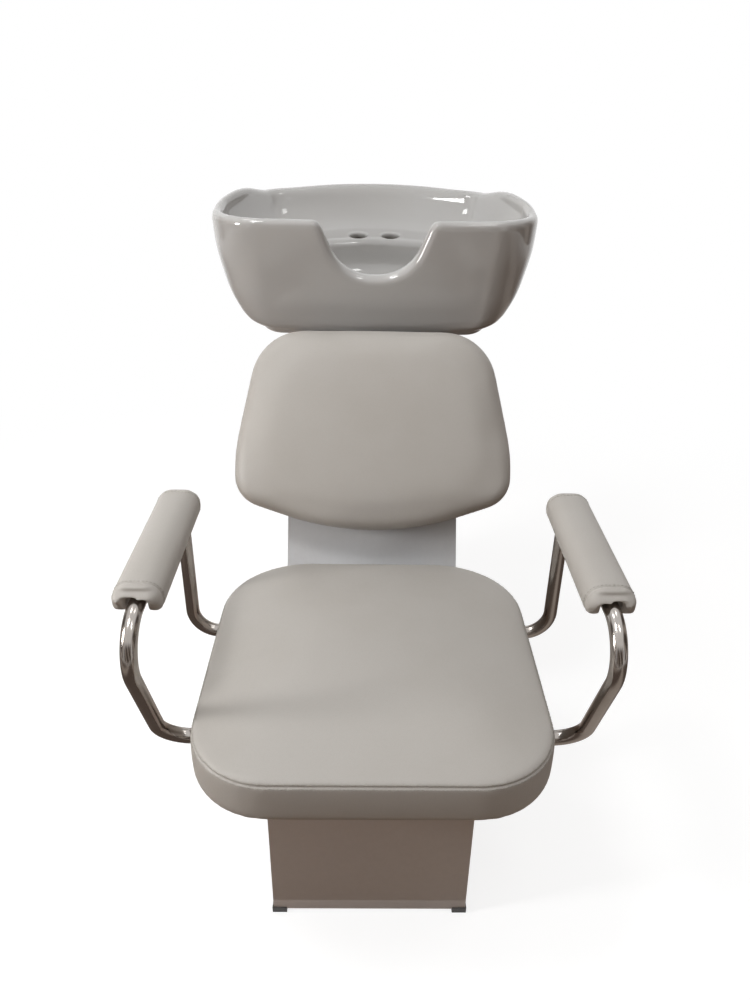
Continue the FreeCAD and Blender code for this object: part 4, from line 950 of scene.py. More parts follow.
class SALON_OT_backrest_cushion(bpy.types.Operator):
    """Backrest cushion: domed front, soft edge and a seam near the back"""
    bl_idname = "salon.backrest_cushion"
    bl_label = "Backrest cushion"

    def execute(self, context):
        base = BACK["off"]
        levels = ((0.0005, 0.014), (0.001, 0.009), (0.003, 0.005), (0.008, 0.0035), (0.018, 0.0025),
                  (0.030, 0.0022), (0.039, 0.0028), (0.046, 0.0046), (0.0515, 0.0078), (0.0555, 0.0120),
                  (0.0580, 0.0170), (0.0595, 0.0225))
        back = stacked_rings("backrest_cover", [back_ring(base + off, inset) for off, inset in levels])
        remesh(back, cushion_voxel(), 5)
        self.crown(back)

        def held(places):
            return np.round(np.clip((base + 0.010 - self.off_panel(places)) / 0.004, 0, 1) * 4) / 4
        inflate(back, held, 2.6, 0.006, 30)
        refine(back, 3)
        seam = back_ring(base + 0.0165, 0.0)
        row = back_ring(base + 0.0200, 0.0)
        sew(back, "backrest", [seam], [row], "stand")
        upholster(back, "backrest_cushion")
        return {"FINISHED"}

    def off_panel(self, places):
        return (places[:, 2] - RAKE_FOOT.z) * math.sin(RAKE) - (places[:, 1] - RAKE_FOOT.y) * math.cos(RAKE)

    def crown(self, back):
        """Smooth dome over the whole front."""
        places = point_array(back)
        off = self.off_panel(places)
        up = ((places[:, 1] - RAKE_FOOT.y) * math.sin(RAKE) + (places[:, 2] - RAKE_FOOT.z) * math.cos(RAKE)
              - BACK["low_centre"]) / BACK["length"]
        half = BACK["half"] * np.interp(up, (-0.07, 0.0, 0.157, 0.39, 0.70, 0.90, 1.0),
                                        (0.60, 0.80, 0.98, 1.0, 0.92, 0.84, 0.72))
        across = np.clip(np.abs(places[:, 0]) / half, 0, 1)
        height = np.clip(np.abs(up - 0.47) / 0.535, 0, 1)
        share = np.clip((off - BACK["off"] - 0.030) / 0.027, 0, 1)
        rise = BACK["crown"] * (1 - across ** 2.3) * (1 - height ** 2.3) * share ** 2 * (3 - 2 * share)
        places[:, 1] -= rise * math.cos(RAKE)
        places[:, 2] += rise * math.sin(RAKE)
        put_points(back, places)


# Arm pads

ARM = {"x": 0.307, "z": 0.622, "front": -0.468, "length": 0.280, "half": 0.034, "low": -0.0115,
       "high": 0.029, "slot": 0.014, "end_slot": 0.0118, "slot_top": 0.0113}


def pad_section(inset, slot):
    """Round-topped section with the slot for the tube beneath."""
    half, low, high, top = ARM["half"], ARM["low"], ARM["high"], ARM["slot_top"]
    right = [(slot, low, 0.0030), (half, low, 0.0085), (half, high, 0.0235)]
    corners = right + mirrored_corners(right) + [(-slot, top, 0.0015), (slot, top, 0.0015)]
    return outline_points(inset_corners(corners, inset), 7, 6)


def pad_ring(along, inset, slot):
    return [(ARM["x"] + x, ARM["front"] + along, ARM["z"] + z) for x, z in pad_section(inset, slot)]


class SALON_OT_arm_pads(bpy.types.Operator):
    """Padded armrests: inflated cover, sewn end caps and stitches"""
    bl_idname = "salon.arm_pads"
    bl_label = "Arm pads"

    def execute(self, context):
        ends = ((0.0000, 0.0095, 0.0), (0.0010, 0.0065, 0.0), (0.0032, 0.0036, 0.0), (0.0066, 0.0016, 0.0),
                (0.0110, 0.0008, 0.2), (0.0135, 0.0012, 0.5), (0.0160, 0.0006, 0.8), (0.024, 0.0008, 1.0))
        length, seam_in = ARM["length"], 0.0135
        levels = list(ends) + [(length - along, inset, opened) for along, inset, opened in reversed(ends)]
        rings = [pad_ring(along, inset, ARM["end_slot"] + (ARM["slot"] - ARM["end_slot"]) * opened)
                 for along, inset, opened in levels]
        pad = stacked_rings("right_arm_pad_cover", rings)
        pad.data.flip_normals()
        remesh(pad, 0.0030, 2)
        low_z = ARM["z"] + ARM["low"] + 0.004

        def held(places):
            across = np.abs(places[:, 0] - ARM["x"])
            slot = (across < ARM["slot"] + 0.003) & (places[:, 2] < ARM["z"] + ARM["slot_top"] + 0.002)
            ends_held = np.minimum(np.abs(places[:, 1] - ARM["front"] - seam_in),
                                   np.abs(places[:, 1] - ARM["front"] - length + seam_in)) < 0.0026
            outer = np.hypot(places[:, 0] - ARM["x"], places[:, 2] - ARM["z"]) > 0.024
            return np.where(slot | (ends_held & outer) | (places[:, 2] < low_z), 1.0, 0.0)
        inflate(pad, held, 3.0, 0.0022, 6)
        self.end_caps(pad)
        refine(pad, 1)
        guides, rows = [], []
        for along, step in ((seam_in, 1), (length - seam_in, -1)):
            guides.append(self.over_top(along))
            rows.append(self.over_top(along + 0.0030 * step))
        rows_sewn = sew(pad, "right_arm_pad", guides, rows, "stand", closed=False, reach=0.006, depth=1.2,
                        width=0.0018, pucker=0.0004, pitch=0.008)
        upholster(pad, "right_arm_pad")
        upholster(self.mirrored(pad), "left_arm_pad")
        for row in rows_sewn:
            twin = self.mirrored(row)
            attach(twin, "stand")
        return {"FINISHED"}

    def over_top(self, along):
        """The seam's line over the top of the section, from one lower edge to the other."""
        section = [(x, z) for x, z in pad_section(0.0, ARM["slot"])
                   if z > ARM["low"] + 0.003 and abs(x) > ARM["slot"] + 0.004 or z > ARM["slot_top"] + 0.004]
        section.sort(key=lambda p: math.atan2(p[0], p[1] + 0.004))
        return [(ARM["x"] + x, ARM["front"] + along, ARM["z"] + z) for x, z in section]

    def end_caps(self, pad):
        """Full, gathered end caps, sunk in under the upper seam."""
        places = point_array(pad)
        for end, outward, full in ((ARM["front"], -1, 0.0070), (ARM["front"] + ARM["length"], 1, 0.0030)):
            depth = np.clip(1 - np.abs(places[:, 1] - end) / 0.014, 0, 1)
            x, z = (places[:, 0] - ARM["x"]) / ARM["half"], places[:, 2] - ARM["z"]
            wide = np.clip(1 - np.abs(x) ** 3, 0, 1)
            swell = full * np.exp(-((z - 0.011) / 0.0085) ** 2) * (0.45 + 0.55 * wide)
            sunk = 0.0044 * np.exp(-((z - 0.0215) / 0.0030) ** 2) * wide
            angle = np.arctan2(x * ARM["half"], z - 0.002)
            folds = np.sin(angle * 12 + 0.8 * np.sin(angle * 3)) * np.clip((np.abs(angle) - 0.6) * 2, 0, 1)
            rim = np.clip(np.hypot(x * ARM["half"], z - 0.006) / 0.026, 0, 1) ** 2
            places[:, 1] += outward * depth * (swell - sunk + 0.0009 * folds * rim)
        put_points(pad, places)

    def mirrored(self, piece):
        """The same piece on the left side."""
        twin = placed(piece.name.replace("right", "left"), piece.data.copy())
        put_points(twin, point_array(twin) * (-1, 1, 1))
        twin.data.flip_normals()
        return twin


# Ceramic basin, in its own axes: y runs back from the front rim, z is up from it, in millimetres

TILT = math.radians(8.0)
BASIN = {"width": 612.0, "length": 444.0, "depth": 190.0, "front_y": 162.466, "rim_z": 970.0}
# Each row: share of the depth, then width, front and rear as shares of the basin's sizes
OUTER_SHARES = ((0.0, 1.0, 0.0, 1.0), (0.26, 0.988, 0.003, 0.986), (0.50, 0.955, 0.010, 0.945),
                (0.68, 0.918, 0.015, 0.886), (0.84, 0.862, 0.022, 0.804), (0.95, 0.795, 0.032, 0.726),
                (1.0, 0.735, 0.046, 0.658))
UPPER_SHARES = ((0.0, 0.932, 0.053, 0.948), (0.36, 0.900, 0.065, 0.907), (0.72, 0.856, 0.078, 0.836),
                (1.0, 0.817, 0.087, 0.735))
LOWER_SHARES = ((0.0, 0.815, 0.088, 0.530), (0.33, 0.770, 0.102, 0.516), (0.66, 0.680, 0.134, 0.489),
                (0.88, 0.562, 0.178, 0.447), (0.97, 0.425, 0.228, 0.402), (1.0, 0.261, 0.274, 0.356))
# Rim line seen from the side: distance back from the front, height over the front rim
RIM_LINE = ((-20, 31), (0, 29), (40, 25), (75, 21), (105, 19.5), (140, 20.5), (175, 22), (210, 21.5),
            (240, 18.5), (268, 13), (300, 3.5), (332, -8), (360, -16), (390, -20), (420, -20), (500, -20))


# Where the levels of the tables begin and end, as depths under the front rim
SHELF_DEPTH, SUMP_DEPTH = 83.0, 173.0
FOOT = {"half": 175.0, "front": 82.0, "rear": 236.0, "round": 40.0, "low": -204.0, "top": -150.0}
RECESS = {"half": 161.0, "front": 96.0, "rear": 222.0, "round": 26.0, "top": -187.0}
BOSSES = {"places": ((-140.0, 116.0), (-140.0, 202.0), (140.0, 116.0), (140.0, 202.0)),
          "radius": 15.0, "bore": 5.0, "top": -184.0}
POCKET = {"half": 120.0, "front": 246.3, "top": -97.0}
TAPS = {"places": ((-34.0, 273.0), (34.0, 273.0)), "radius": 17.5, "low": -40.0}
WASTE = {"back": 138.0, "seat": 33.6, "ledge": -176.4, "top": -150.0, "bore": 22.4}
# Neck notch seen from the front: x, z and corner radius; then how far back it reaches
NOTCH = ((-61.0, -74.0, 78.0), (61.0, -74.0, 78.0), (124.0, 100.0, 0.0), (-124.0, 100.0, 0.0))
NOTCH_BACK = 78.0


def natural_curve(stops, values, at):
    """Smooth curve through the given values."""
    stops, values = np.asarray(stops, float), np.asarray(values, float)
    gaps = np.diff(stops)
    count = len(stops)
    system, right = np.eye(count), np.zeros(count)
    for i in range(1, count - 1):
        system[i, i - 1:i + 2] = gaps[i - 1], 2 * (gaps[i - 1] + gaps[i]), gaps[i]
        right[i] = 6 * ((values[i + 1] - values[i]) / gaps[i] - (values[i] - values[i - 1]) / gaps[i - 1])
    bend = np.linalg.solve(system, right)
    at = np.clip(at, stops[0], stops[-1])
    k = np.clip(np.searchsorted(stops, at) - 1, 0, count - 2)
    a, b = (stops[k + 1] - at) / gaps[k], (at - stops[k]) / gaps[k]
    return (a * values[k] + b * values[k + 1]
            + ((a ** 3 - a) * bend[k] + (b ** 3 - b) * bend[k + 1]) * gaps[k] ** 2 / 6)


def plan_distance(x, y, corners):
    """Distance to a rounded convex outline in a plane, negative inside."""
    points = np.array([corner[:2] for corner in corners], float)
    edges = np.roll(points, -1, axis=0) - points
    normals = np.stack([edges[:, 1], -edges[:, 0]], axis=1) / np.linalg.norm(edges, axis=1)[:, None]
    sides = [nx * (x - px) + ny * (y - py) for (px, py), (nx, ny) in zip(points, normals)]
    result = sides[0]
    for index, (_, _, radius) in enumerate(corners):
        before, after = normals[index - 1], normals[index]
        centre = points[index] - radius * (before + after) / (1 + before @ after)
        dx, dy = x - centre[0], y - centre[1]
        wedge = (before[0] * dy - before[1] * dx >= 0) & (dx * after[1] - dy * after[0] >= 0)
        rounded = np.where(wedge, np.hypot(dx, dy) - radius, np.maximum(sides[index - 1], sides[index]))
        result = np.maximum(result, rounded)
    return result


def basin_plan(width, front_share, rear_share, side_radius):
    """Plan of the basin at one level, like the solid's."""
    half = BASIN["width"] / 2 * width
    front = BASIN["length"] * front_share
    span = BASIN["length"] * (rear_share - front_share)
    size = min(width, rear_share - front_share)
    bow = 10.0 * size
    right = [(half, front + bow + 2.0 * size, 105.0 * size ** 1.6),
             (half, front + span * 0.34, side_radius * size),
             (half * 0.778, front + span * 0.872, 55.0 * size)]
    middle = (0.0, front - bow + 2.0 * size, 0.375 * half ** 2 / bow)
    return right + [(0.0, front + span * 1.0734, 471.0 * size)] + mirrored_corners(right) + [middle]


def level_form(x, y, z, shares, top, bottom, side_radius):
    """Distance to the body through the levels of a table, without its lid and floor."""
    table = np.array(shares)
    depth = np.clip((-z - top) / (bottom - top), 0.0, 1.0)
    width, front, rear = [natural_curve(table[:, 0], table[:, column], depth) for column in (1, 2, 3)]
    flat = np.stack([plan_distance(x, y, basin_plan(width[i], front[i], rear[i], side_radius))
                     for i in range(len(z))], axis=2)
    slope = np.gradient(flat, z, axis=2)
    return flat / np.sqrt(1 + slope ** 2)


def round_max(a, b, size):
    """Larger of two distances, with the edge between them rounded."""
    share = np.clip(1 - np.abs(a - b) / size, 0, None)
    return np.maximum(a, b) + share ** 2 * size / 4


def round_min(a, b, size):
    return -round_max(-a, -b, size)


def rounded_box(x, y, sizes_of):
    """Distance in plan to a rectangle with rounded corners."""
    half, front, rear, radius = (sizes_of[key] for key in ("half", "front", "rear", "round"))
    corners = [(half, front, radius), (half, rear, radius), (-half, rear, radius), (-half, front, radius)]
    return plan_distance(x, y, corners)[:, :, None]


def basin_field(x, y, z):
    """Distance to the ceramic on a grid, negative inside it."""
    flat_x, flat_y = np.meshgrid(x, y, indexing="ij")
    across, back, up = np.meshgrid(x, y, z, indexing="ij")
    rim = sizes().rim_round * 1000

    def from_line(place):
        """Distance to the upright line through a place of the plan."""
        return np.hypot(flat_x - place[0], flat_y - place[1])[:, :, None] + 0 * up
    outer = level_form(flat_x, flat_y, z, OUTER_SHARES, 0.0, BASIN["depth"], 200.0)
    floor = -BASIN["depth"] - 14.0 * np.clip((90.0 - back) / 30.0, 0, 1)
    body = round_max(outer, floor - up, 30.0)
    foot = round_max(rounded_box(flat_x, flat_y, FOOT) + 0 * up, FOOT["low"] - up, 4.0)
    body = round_min(body, round_max(foot, up - FOOT["top"], 2.0), 8.0)
    line = np.array(RIM_LINE, float)
    rim_height = natural_curve(line[:, 0], line[:, 1], y)
    rim_slope = np.gradient(rim_height, y)
    above = (up - rim_height[None, :, None]) / np.sqrt(1 + rim_slope ** 2)[None, :, None]
    body = round_max(body, above, rim)
    upper = level_form(flat_x, flat_y, z, UPPER_SHARES, 0.0, SHELF_DEPTH, 100.0)
    upper = round_max(upper, -SHELF_DEPTH - up, 16.0)
    lower = level_form(flat_x, flat_y, z, LOWER_SHARES, SHELF_DEPTH, SUMP_DEPTH, 100.0)
    lower = round_max(round_max(lower, -SUMP_DEPTH - up, 6.0), up + 62.0, 2.0)
    body = round_max(body, -round_min(upper, lower, 14.0), rim * 0.95)
    side_x, side_z = np.meshgrid(x, z, indexing="ij")
    notch = plan_distance(side_x, side_z, NOTCH)[:, None, :]
    flare = 5.0 * np.clip(1 - y / 30.0, 0, 1.4) ** 2
    notch = round_max(notch - flare[None, :, None], (back - NOTCH_BACK) * 0.8, 10.0)
    body = round_max(body, -notch, 15.0)
    recess = round_max(rounded_box(flat_x, flat_y, RECESS) + 0 * up, up - RECESS["top"], 3.0)
    for place in BOSSES["places"]:
        recess = round_max(recess, BOSSES["radius"] - from_line(place), 4.0)
    body = round_max(body, -recess, 2.5)
    for place in BOSSES["places"]:
        hole = np.maximum(from_line(place) - BOSSES["bore"], up - BOSSES["top"])
        body = round_max(body, -hole, 1.5)
    rear_y = np.interp(-z, (97.0, 224.0), (388.0, 292.0))
    behind = (back - rear_y[None, None, :]) * 0.8
    pocket = np.maximum(np.abs(across) - POCKET["half"], np.maximum(POCKET["front"] - back, behind))
    body = round_max(body, -round_max(pocket, up - POCKET["top"], 8.0), 5.0)
    for place in TAPS["places"]:
        hole = from_line(place) - TAPS["radius"]
        body = round_max(body, -round_max(hole, up - TAPS["low"], 1.0), 4.0)
    waste = from_line((0.0, WASTE["back"]))
    seat = np.maximum(waste - WASTE["seat"], WASTE["ledge"] - up)
    body = round_max(body, -np.maximum(seat, up - WASTE["top"]), 1.5)
    return np.maximum(body, WASTE["bore"] - waste)


def net_of(field, x, y, z):
    """Quads over the surface where the field changes sign, one point in each crossed cell."""
    shape = tuple(n - 1 for n in field.shape)
    total = np.zeros(shape + (3,), np.float32)
    count = np.zeros(shape, np.float32)
    corners = [(i, j, k) for i in (0, 1) for j in (0, 1) for k in (0, 1)]

    def at(offset):
        return field[tuple(slice(o, o + n) for o, n in zip(offset, shape))]
    for first in corners:
        for axis in range(3):
            if first[axis]:
                continue
            last = tuple(o + (1 if a == axis else 0) for a, o in enumerate(first))
            one, two = at(first), at(last)
            crossed = (one < 0) != (two < 0)
            share = np.where(crossed, one / np.where(crossed, one - two, 1), 0)
            for a in range(3):
                place = share if a == axis else first[a]
                total[..., a] += np.where(crossed, place, 0)
            count += crossed
    used = count > 0
    number = np.full(shape, -1, np.int64)
    number[used] = np.arange(int(used.sum()))
    cells = np.argwhere(used)
    local = total[used] / count[used][:, None]
    steps = np.array([x[1] - x[0], y[1] - y[0], z[1] - z[0]])
    points = np.array([x[0], y[0], z[0]]) + (cells + local) * steps
    faces = []
    for axis in range(3):
        b, c = (axis + 1) % 3, (axis + 2) % 3
        low = [slice(None)] * 3
        high = [slice(None)] * 3
        low[axis], high[axis] = slice(0, -1), slice(1, None)
        for other in (b, c):
            low[other] = high[other] = slice(1, -1)
        one, two = field[tuple(low)] < 0, field[tuple(high)] < 0
        cell = np.argwhere(one != two)
        cell[:, b] += 1
        cell[:, c] += 1
        outward = one[one != two]

        def corner(db, dc):
            index = cell.copy()
            index[:, b] += db
            index[:, c] += dc
            return number[index[:, 0], index[:, 1], index[:, 2]]
        quad = np.stack([corner(-1, -1), corner(0, -1), corner(0, 0), corner(-1, 0)], axis=1)
        quad[~outward] = quad[~outward][:, ::-1]
        faces.append(quad)
    return points, np.vstack(faces)


# Faces below this height and behind this line of the basin's axes are the foot's, in metres
UNGLAZED = (-0.2015, 0.080)


class SALON_OT_basin(bpy.types.Operator):
    """Glazed ceramic basin with rolled rims, neck notch, ears and tap deck"""
    bl_idname = "salon.basin"
    bl_label = "Basin"

    def execute(self, context):
        cell = sizes().basin_cell * 1000 * 1.0
        x = np.arange(-318.0, 318.0 + cell, cell)
        x -= (x[0] + x[-1]) / 2
        y = np.arange(-12.0, 462.0, cell)
        z = np.arange(-214.0, 32.0, cell)
        points, quads = net_of(basin_field(x, y, z), x, y, z)
        c, s = math.cos(TILT), math.sin(TILT)
        places = np.stack([points[:, 0], BASIN["front_y"] + points[:, 1] * c - points[:, 2] * s,
                           BASIN["rim_z"] + points[:, 1] * s + points[:, 2] * c], axis=1) / 1000.0
        basin = new_piece("basin_glazed", places, quads)
        put_points(basin, evened(point_array(basin), edge_ends(basin), 12, 0.5, -0.53))
        basin.data.materials.append(glaze())
        basin.data.materials.append(bare_ceramic())
        rim_place = Vector((0, BASIN["front_y"], BASIN["rim_z"])) / 1000
        centres = [p.center - rim_place for p in basin.data.polygons]
        low, behind = UNGLAZED
        unglazed = [int(m.z * c - m.y * s < low and m.y * c + m.z * s > behind) for m in centres]
        basin.data.polygons.foreach_set("material_index", unglazed)
        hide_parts("basin_bowl")
        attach(basin, "basin")
        return {"FINISHED"}


# Rigid pieces

class SALON_OT_stand(bpy.types.Operator):
    """Sheet-metal stand with softened edges, floor plate, posts and feet"""
    bl_idname = "salon.stand"
    bl_label = "Stand"

    def execute(self, context):
        # The stand's box takes the darker, warmer copy of the white paint, as painted shade.
        for name in ("left_side_panel", "right_side_panel", "front_panel", "seat_deck", "rear_cover"):
            softened(name, 0.0005, powder_paint("stand powder coat", base_colour("stand_paint_with_painted_shade")))
        # The raked panel and the top plate take the lighter, bluer copy of the same paint, as painted light.
        for name in ("back_panel", "top_plate"):
            softened(name, 0.0005, powder_paint("panel powder coat", base_colour("panel_paint_with_painted_light")))
        softened("corner_feet", 0.0009, black_plastic())
        softened("floor_plate", 0.0004, zinc_steel(), 1)
        softened("column_posts", 0.0006, zinc_steel(), 1)
        softened("deck_bearers", 0.0005, zinc_steel(), 1)
        give(frame["nodes"]["cover_screws"], zinc_steel())
        return {"FINISHED"}


class SALON_OT_seat_frame(bpy.types.Operator):
    """Rails, boards and spacers that carry the cushions"""
    bl_idname = "salon.seat_frame"
    bl_label = "Seat frame"

    def execute(self, context):
        for name in ("front_cross_rail", "rear_cross_rail", "backrest_spacers"):
            softened(name, 0.0004, black_steel(), 1)
        for name in ("seat_board", "backrest_board", "left_pad_core", "right_pad_core"):
            give(frame["nodes"][name], plywood())
        for name in ("rail_bolts", "seat_screws", "arm_clamp_screws", "pad_screws", "backrest_bolts"):
            give(frame["nodes"][name], zinc_steel())
        return {"FINISHED"}


# Route of the right arm's tube: place and bend radius at each turn
ARM_ROUTE = ((0.180, -0.441, 0.3715, 0.0), (0.307, -0.441, 0.3715, 0.045), (0.307, -0.5545, 0.622, 0.055),
             (0.307, -0.191, 0.622, 0.045), (0.307, -0.191, 0.3715, 0.045), (0.180, -0.191, 0.3715, 0.0))
TUBE_RADIUS, TUBE_BORE, TUBE_SIDES, TUBE_EDGE = 0.011, 0.0095, 32, 0.0004
# Rings at each end of a tube, from inside to outside: distance from the end, radius
TUBE_MOUTH = ((0.020, TUBE_BORE), (TUBE_EDGE, TUBE_BORE), (0.0, TUBE_BORE + 0.0003),
              (0.0, TUBE_RADIUS - TUBE_EDGE), (TUBE_EDGE, TUBE_RADIUS))


def bent_line(route, turn=math.radians(4)):
    """Points along a route with a true arc at each turn."""
    corners = [Vector(stop[:3]) for stop in route]
    line = [corners[0]]
    for index in range(1, len(route) - 1):
        here, radius = corners[index], route[index][3]
        back = (corners[index - 1] - here).normalized()
        ahead = (corners[index + 1] - here).normalized()
        half_angle = back.angle(ahead) / 2
        centre = here + (back + ahead).normalized() * (radius / math.sin(half_angle))
        first = here + back * (radius / math.tan(half_angle)) - centre
        sweep = math.pi - 2 * half_angle
        axis = back.cross(ahead) * -1
        steps = max(3, round(sweep / turn))
        for step in range(steps + 1):
            line.append(centre + Matrix.Rotation(sweep * step / steps, 3, axis) @ first)
    return line + [corners[-1]]


class SALON_OT_arm_tubes(bpy.types.Operator):
    """Chromed tubes of the arms, bent in one piece"""
    bl_idname = "salon.arm_tubes"
    bl_label = "Arm tubes"

    def execute(self, context):
        for name, side in (("right_arm_tube", 1), ("left_arm_tube", -1)):
            route = [(x * side, y, z, radius) for x, y, z, radius in ARM_ROUTE]
            tube = self.tube(name + "_finished", bent_line(route))
            give(tube, chrome())
            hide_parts(name)
            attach(tube, "stand")
        return {"FINISHED"}

    def tube(self, name, line):
        """Round tube along a line, open at both ends."""
        angles = [2 * math.pi * step / TUBE_SIDES for step in range(TUBE_SIDES)]
        rings = []
        ahead = (line[1] - line[0]).normalized()
        up = Vector((0, 0, 1))

        def ring(place, wide):
            side = ahead.cross(up).normalized()
            rings.append([place + (side * math.cos(a) + up * math.sin(a)) * wide for a in angles])
        for back, wide in TUBE_MOUTH:
            ring(line[0] + ahead * back, wide)
        for index in range(1, len(line)):
            before = (line[index] - line[index - 1]).normalized()
            after = (line[index + 1] - line[index]).normalized() if index < len(line) - 1 else before
            middle = (before + after).normalized()
            up = ahead.rotation_difference(middle) @ up
            ahead = middle
            if index < len(line) - 1:
                ring(line[index], TUBE_RADIUS)
        for back, wide in reversed(TUBE_MOUTH):
            ring(line[-1] - ahead * back, wide)
        made = stacked_rings(name, rings)
        made.data.flip_normals()
        return made


class SALON_OT_waste_fitting(bpy.types.Operator):
    """Waste flange, strainer, gasket, nut and tailpiece"""
    bl_idname = "salon.waste_fitting"
    bl_label = "Waste fitting"

    def execute(self, context):
        softened("drain_flange", 0.0005, chrome())
        softened("hair_strainer", 0.0003, chrome())
        give(frame["nodes"]["drain_gasket"], rubber())
        softened("drain_nut", 0.0008, black_plastic())
        give(frame["nodes"]["drain_tailpiece"], pale_plastic("grey plastic", (0.30, 0.31, 0.32)))
        return {"FINISHED"}


class SALON_OT_tilt_parts(bpy.types.Operator):
    """Cradle, brackets, bushes, bolts and the clamp lever under the basin"""
    bl_idname = "salon.tilt_parts"
    bl_label = "Tilt mechanism"

    def execute(self, context):
        for name in ("cradle_plate", "cradle_ears", "left_yoke_bracket", "right_yoke_bracket"):
            softened(name, 0.0007, black_steel())
        softened("lock_lever", 0.0010, zinc_steel())
        softened("lever_knob", 0.0020, black_plastic(), 3)
        for name in ("basin_bolts", "yoke_bolts", "pivot_bolts"):
            give(frame["nodes"][name], zinc_steel())
        give(frame["nodes"]["basin_pads"], rubber())
        give(frame["nodes"]["friction_washers"], black_plastic())
        give(frame["nodes"]["pivot_bushes"], pale_plastic("nylon", (0.55, 0.53, 0.47)))
        return {"FINISHED"}


# Stage

# Angles in degrees; focus in pixels of a picture that is 1000 pixels high
CAMERA = {"place": (-0.01424, -1.3065, 1.2330), "pitch": 28.322, "roll": -0.95, "yaw": -0.823,
          "focus": 797.47}
SENSOR = 36.0
# Place, width and power of each lamp; all point at LAMP_AIM
LAMPS = (((-0.90, -0.80, 2.70), 0.34, 14.0), ((0.75, -1.05, 2.75), 0.34, 5.0),
         ((-0.80, 0.35, 2.75), 0.34, 5.0), ((0.70, 0.45, 2.85), 0.34, 2.5),
         ((-1.85, -0.80, 1.10), 0.34, 21.5))
LAMP_AIM = Vector((0, -0.1, 0.6))
FLOOR_HALF = 9.0


class SALON_OT_camera(bpy.types.Operator):
    """Camera at the photograph's viewpoint"""
    bl_idname = "salon.camera"
    bl_label = "Camera"

    def execute(self, context):
        pitch, roll, yaw = [math.radians(CAMERA[key]) for key in ("pitch", "roll", "yaw")]
        spin = Matrix.Rotation(yaw, 3, "Z")
        ahead = spin @ Vector((0, math.cos(pitch), -math.sin(pitch)))
        right = spin @ Vector((1, 0, 0))
        down = spin @ Vector((0, -math.sin(pitch), -math.cos(pitch)))
        across = right * math.cos(roll) + down * math.sin(roll)
        below = down * math.cos(roll) - right * math.sin(roll)
        data = bpy.data.cameras.new("view")
        data.sensor_fit = "AUTO"
        data.sensor_width = SENSOR
        data.lens = CAMERA["focus"] * SENSOR / 1000.0
        camera = placed("view", data)
        turn = Matrix((across, -below, -ahead)).transposed().to_4x4()
        camera.matrix_world = Matrix.Translation(CAMERA["place"]) @ turn
        context.scene.camera = camera
        return {"FINISHED"}


def seen_directly(tree):
    """1 for camera, mirror and glass rays, which see the plain background."""
    path = tree.nodes.new("ShaderNodeLightPath")
    first = maths(tree, "MAXIMUM", path.outputs["Is Camera Ray"], path.outputs["Is Glossy Ray"])
    return maths(tree, "MAXIMUM", first, path.outputs["Is Transmission Ray"])


def mixed_shaders(tree, share, first, second):
    """Socket of a shader between two, by a share from 0 to 1."""
    made = tree.nodes.new("ShaderNodeMixShader")
    for index, socket in enumerate((share, first, second)):
        tree.links.new(socket, made.inputs[index])
    return made.outputs[0]


def rectangle(name, wide, high):
    """Flat piece, given by half its width and half its height."""
    corners = [(-wide, -high, 0), (wide, -high, 0), (wide, high, 0), (-wide, high, 0)]
    return new_piece(name, corners, [(0, 1, 2, 3)])


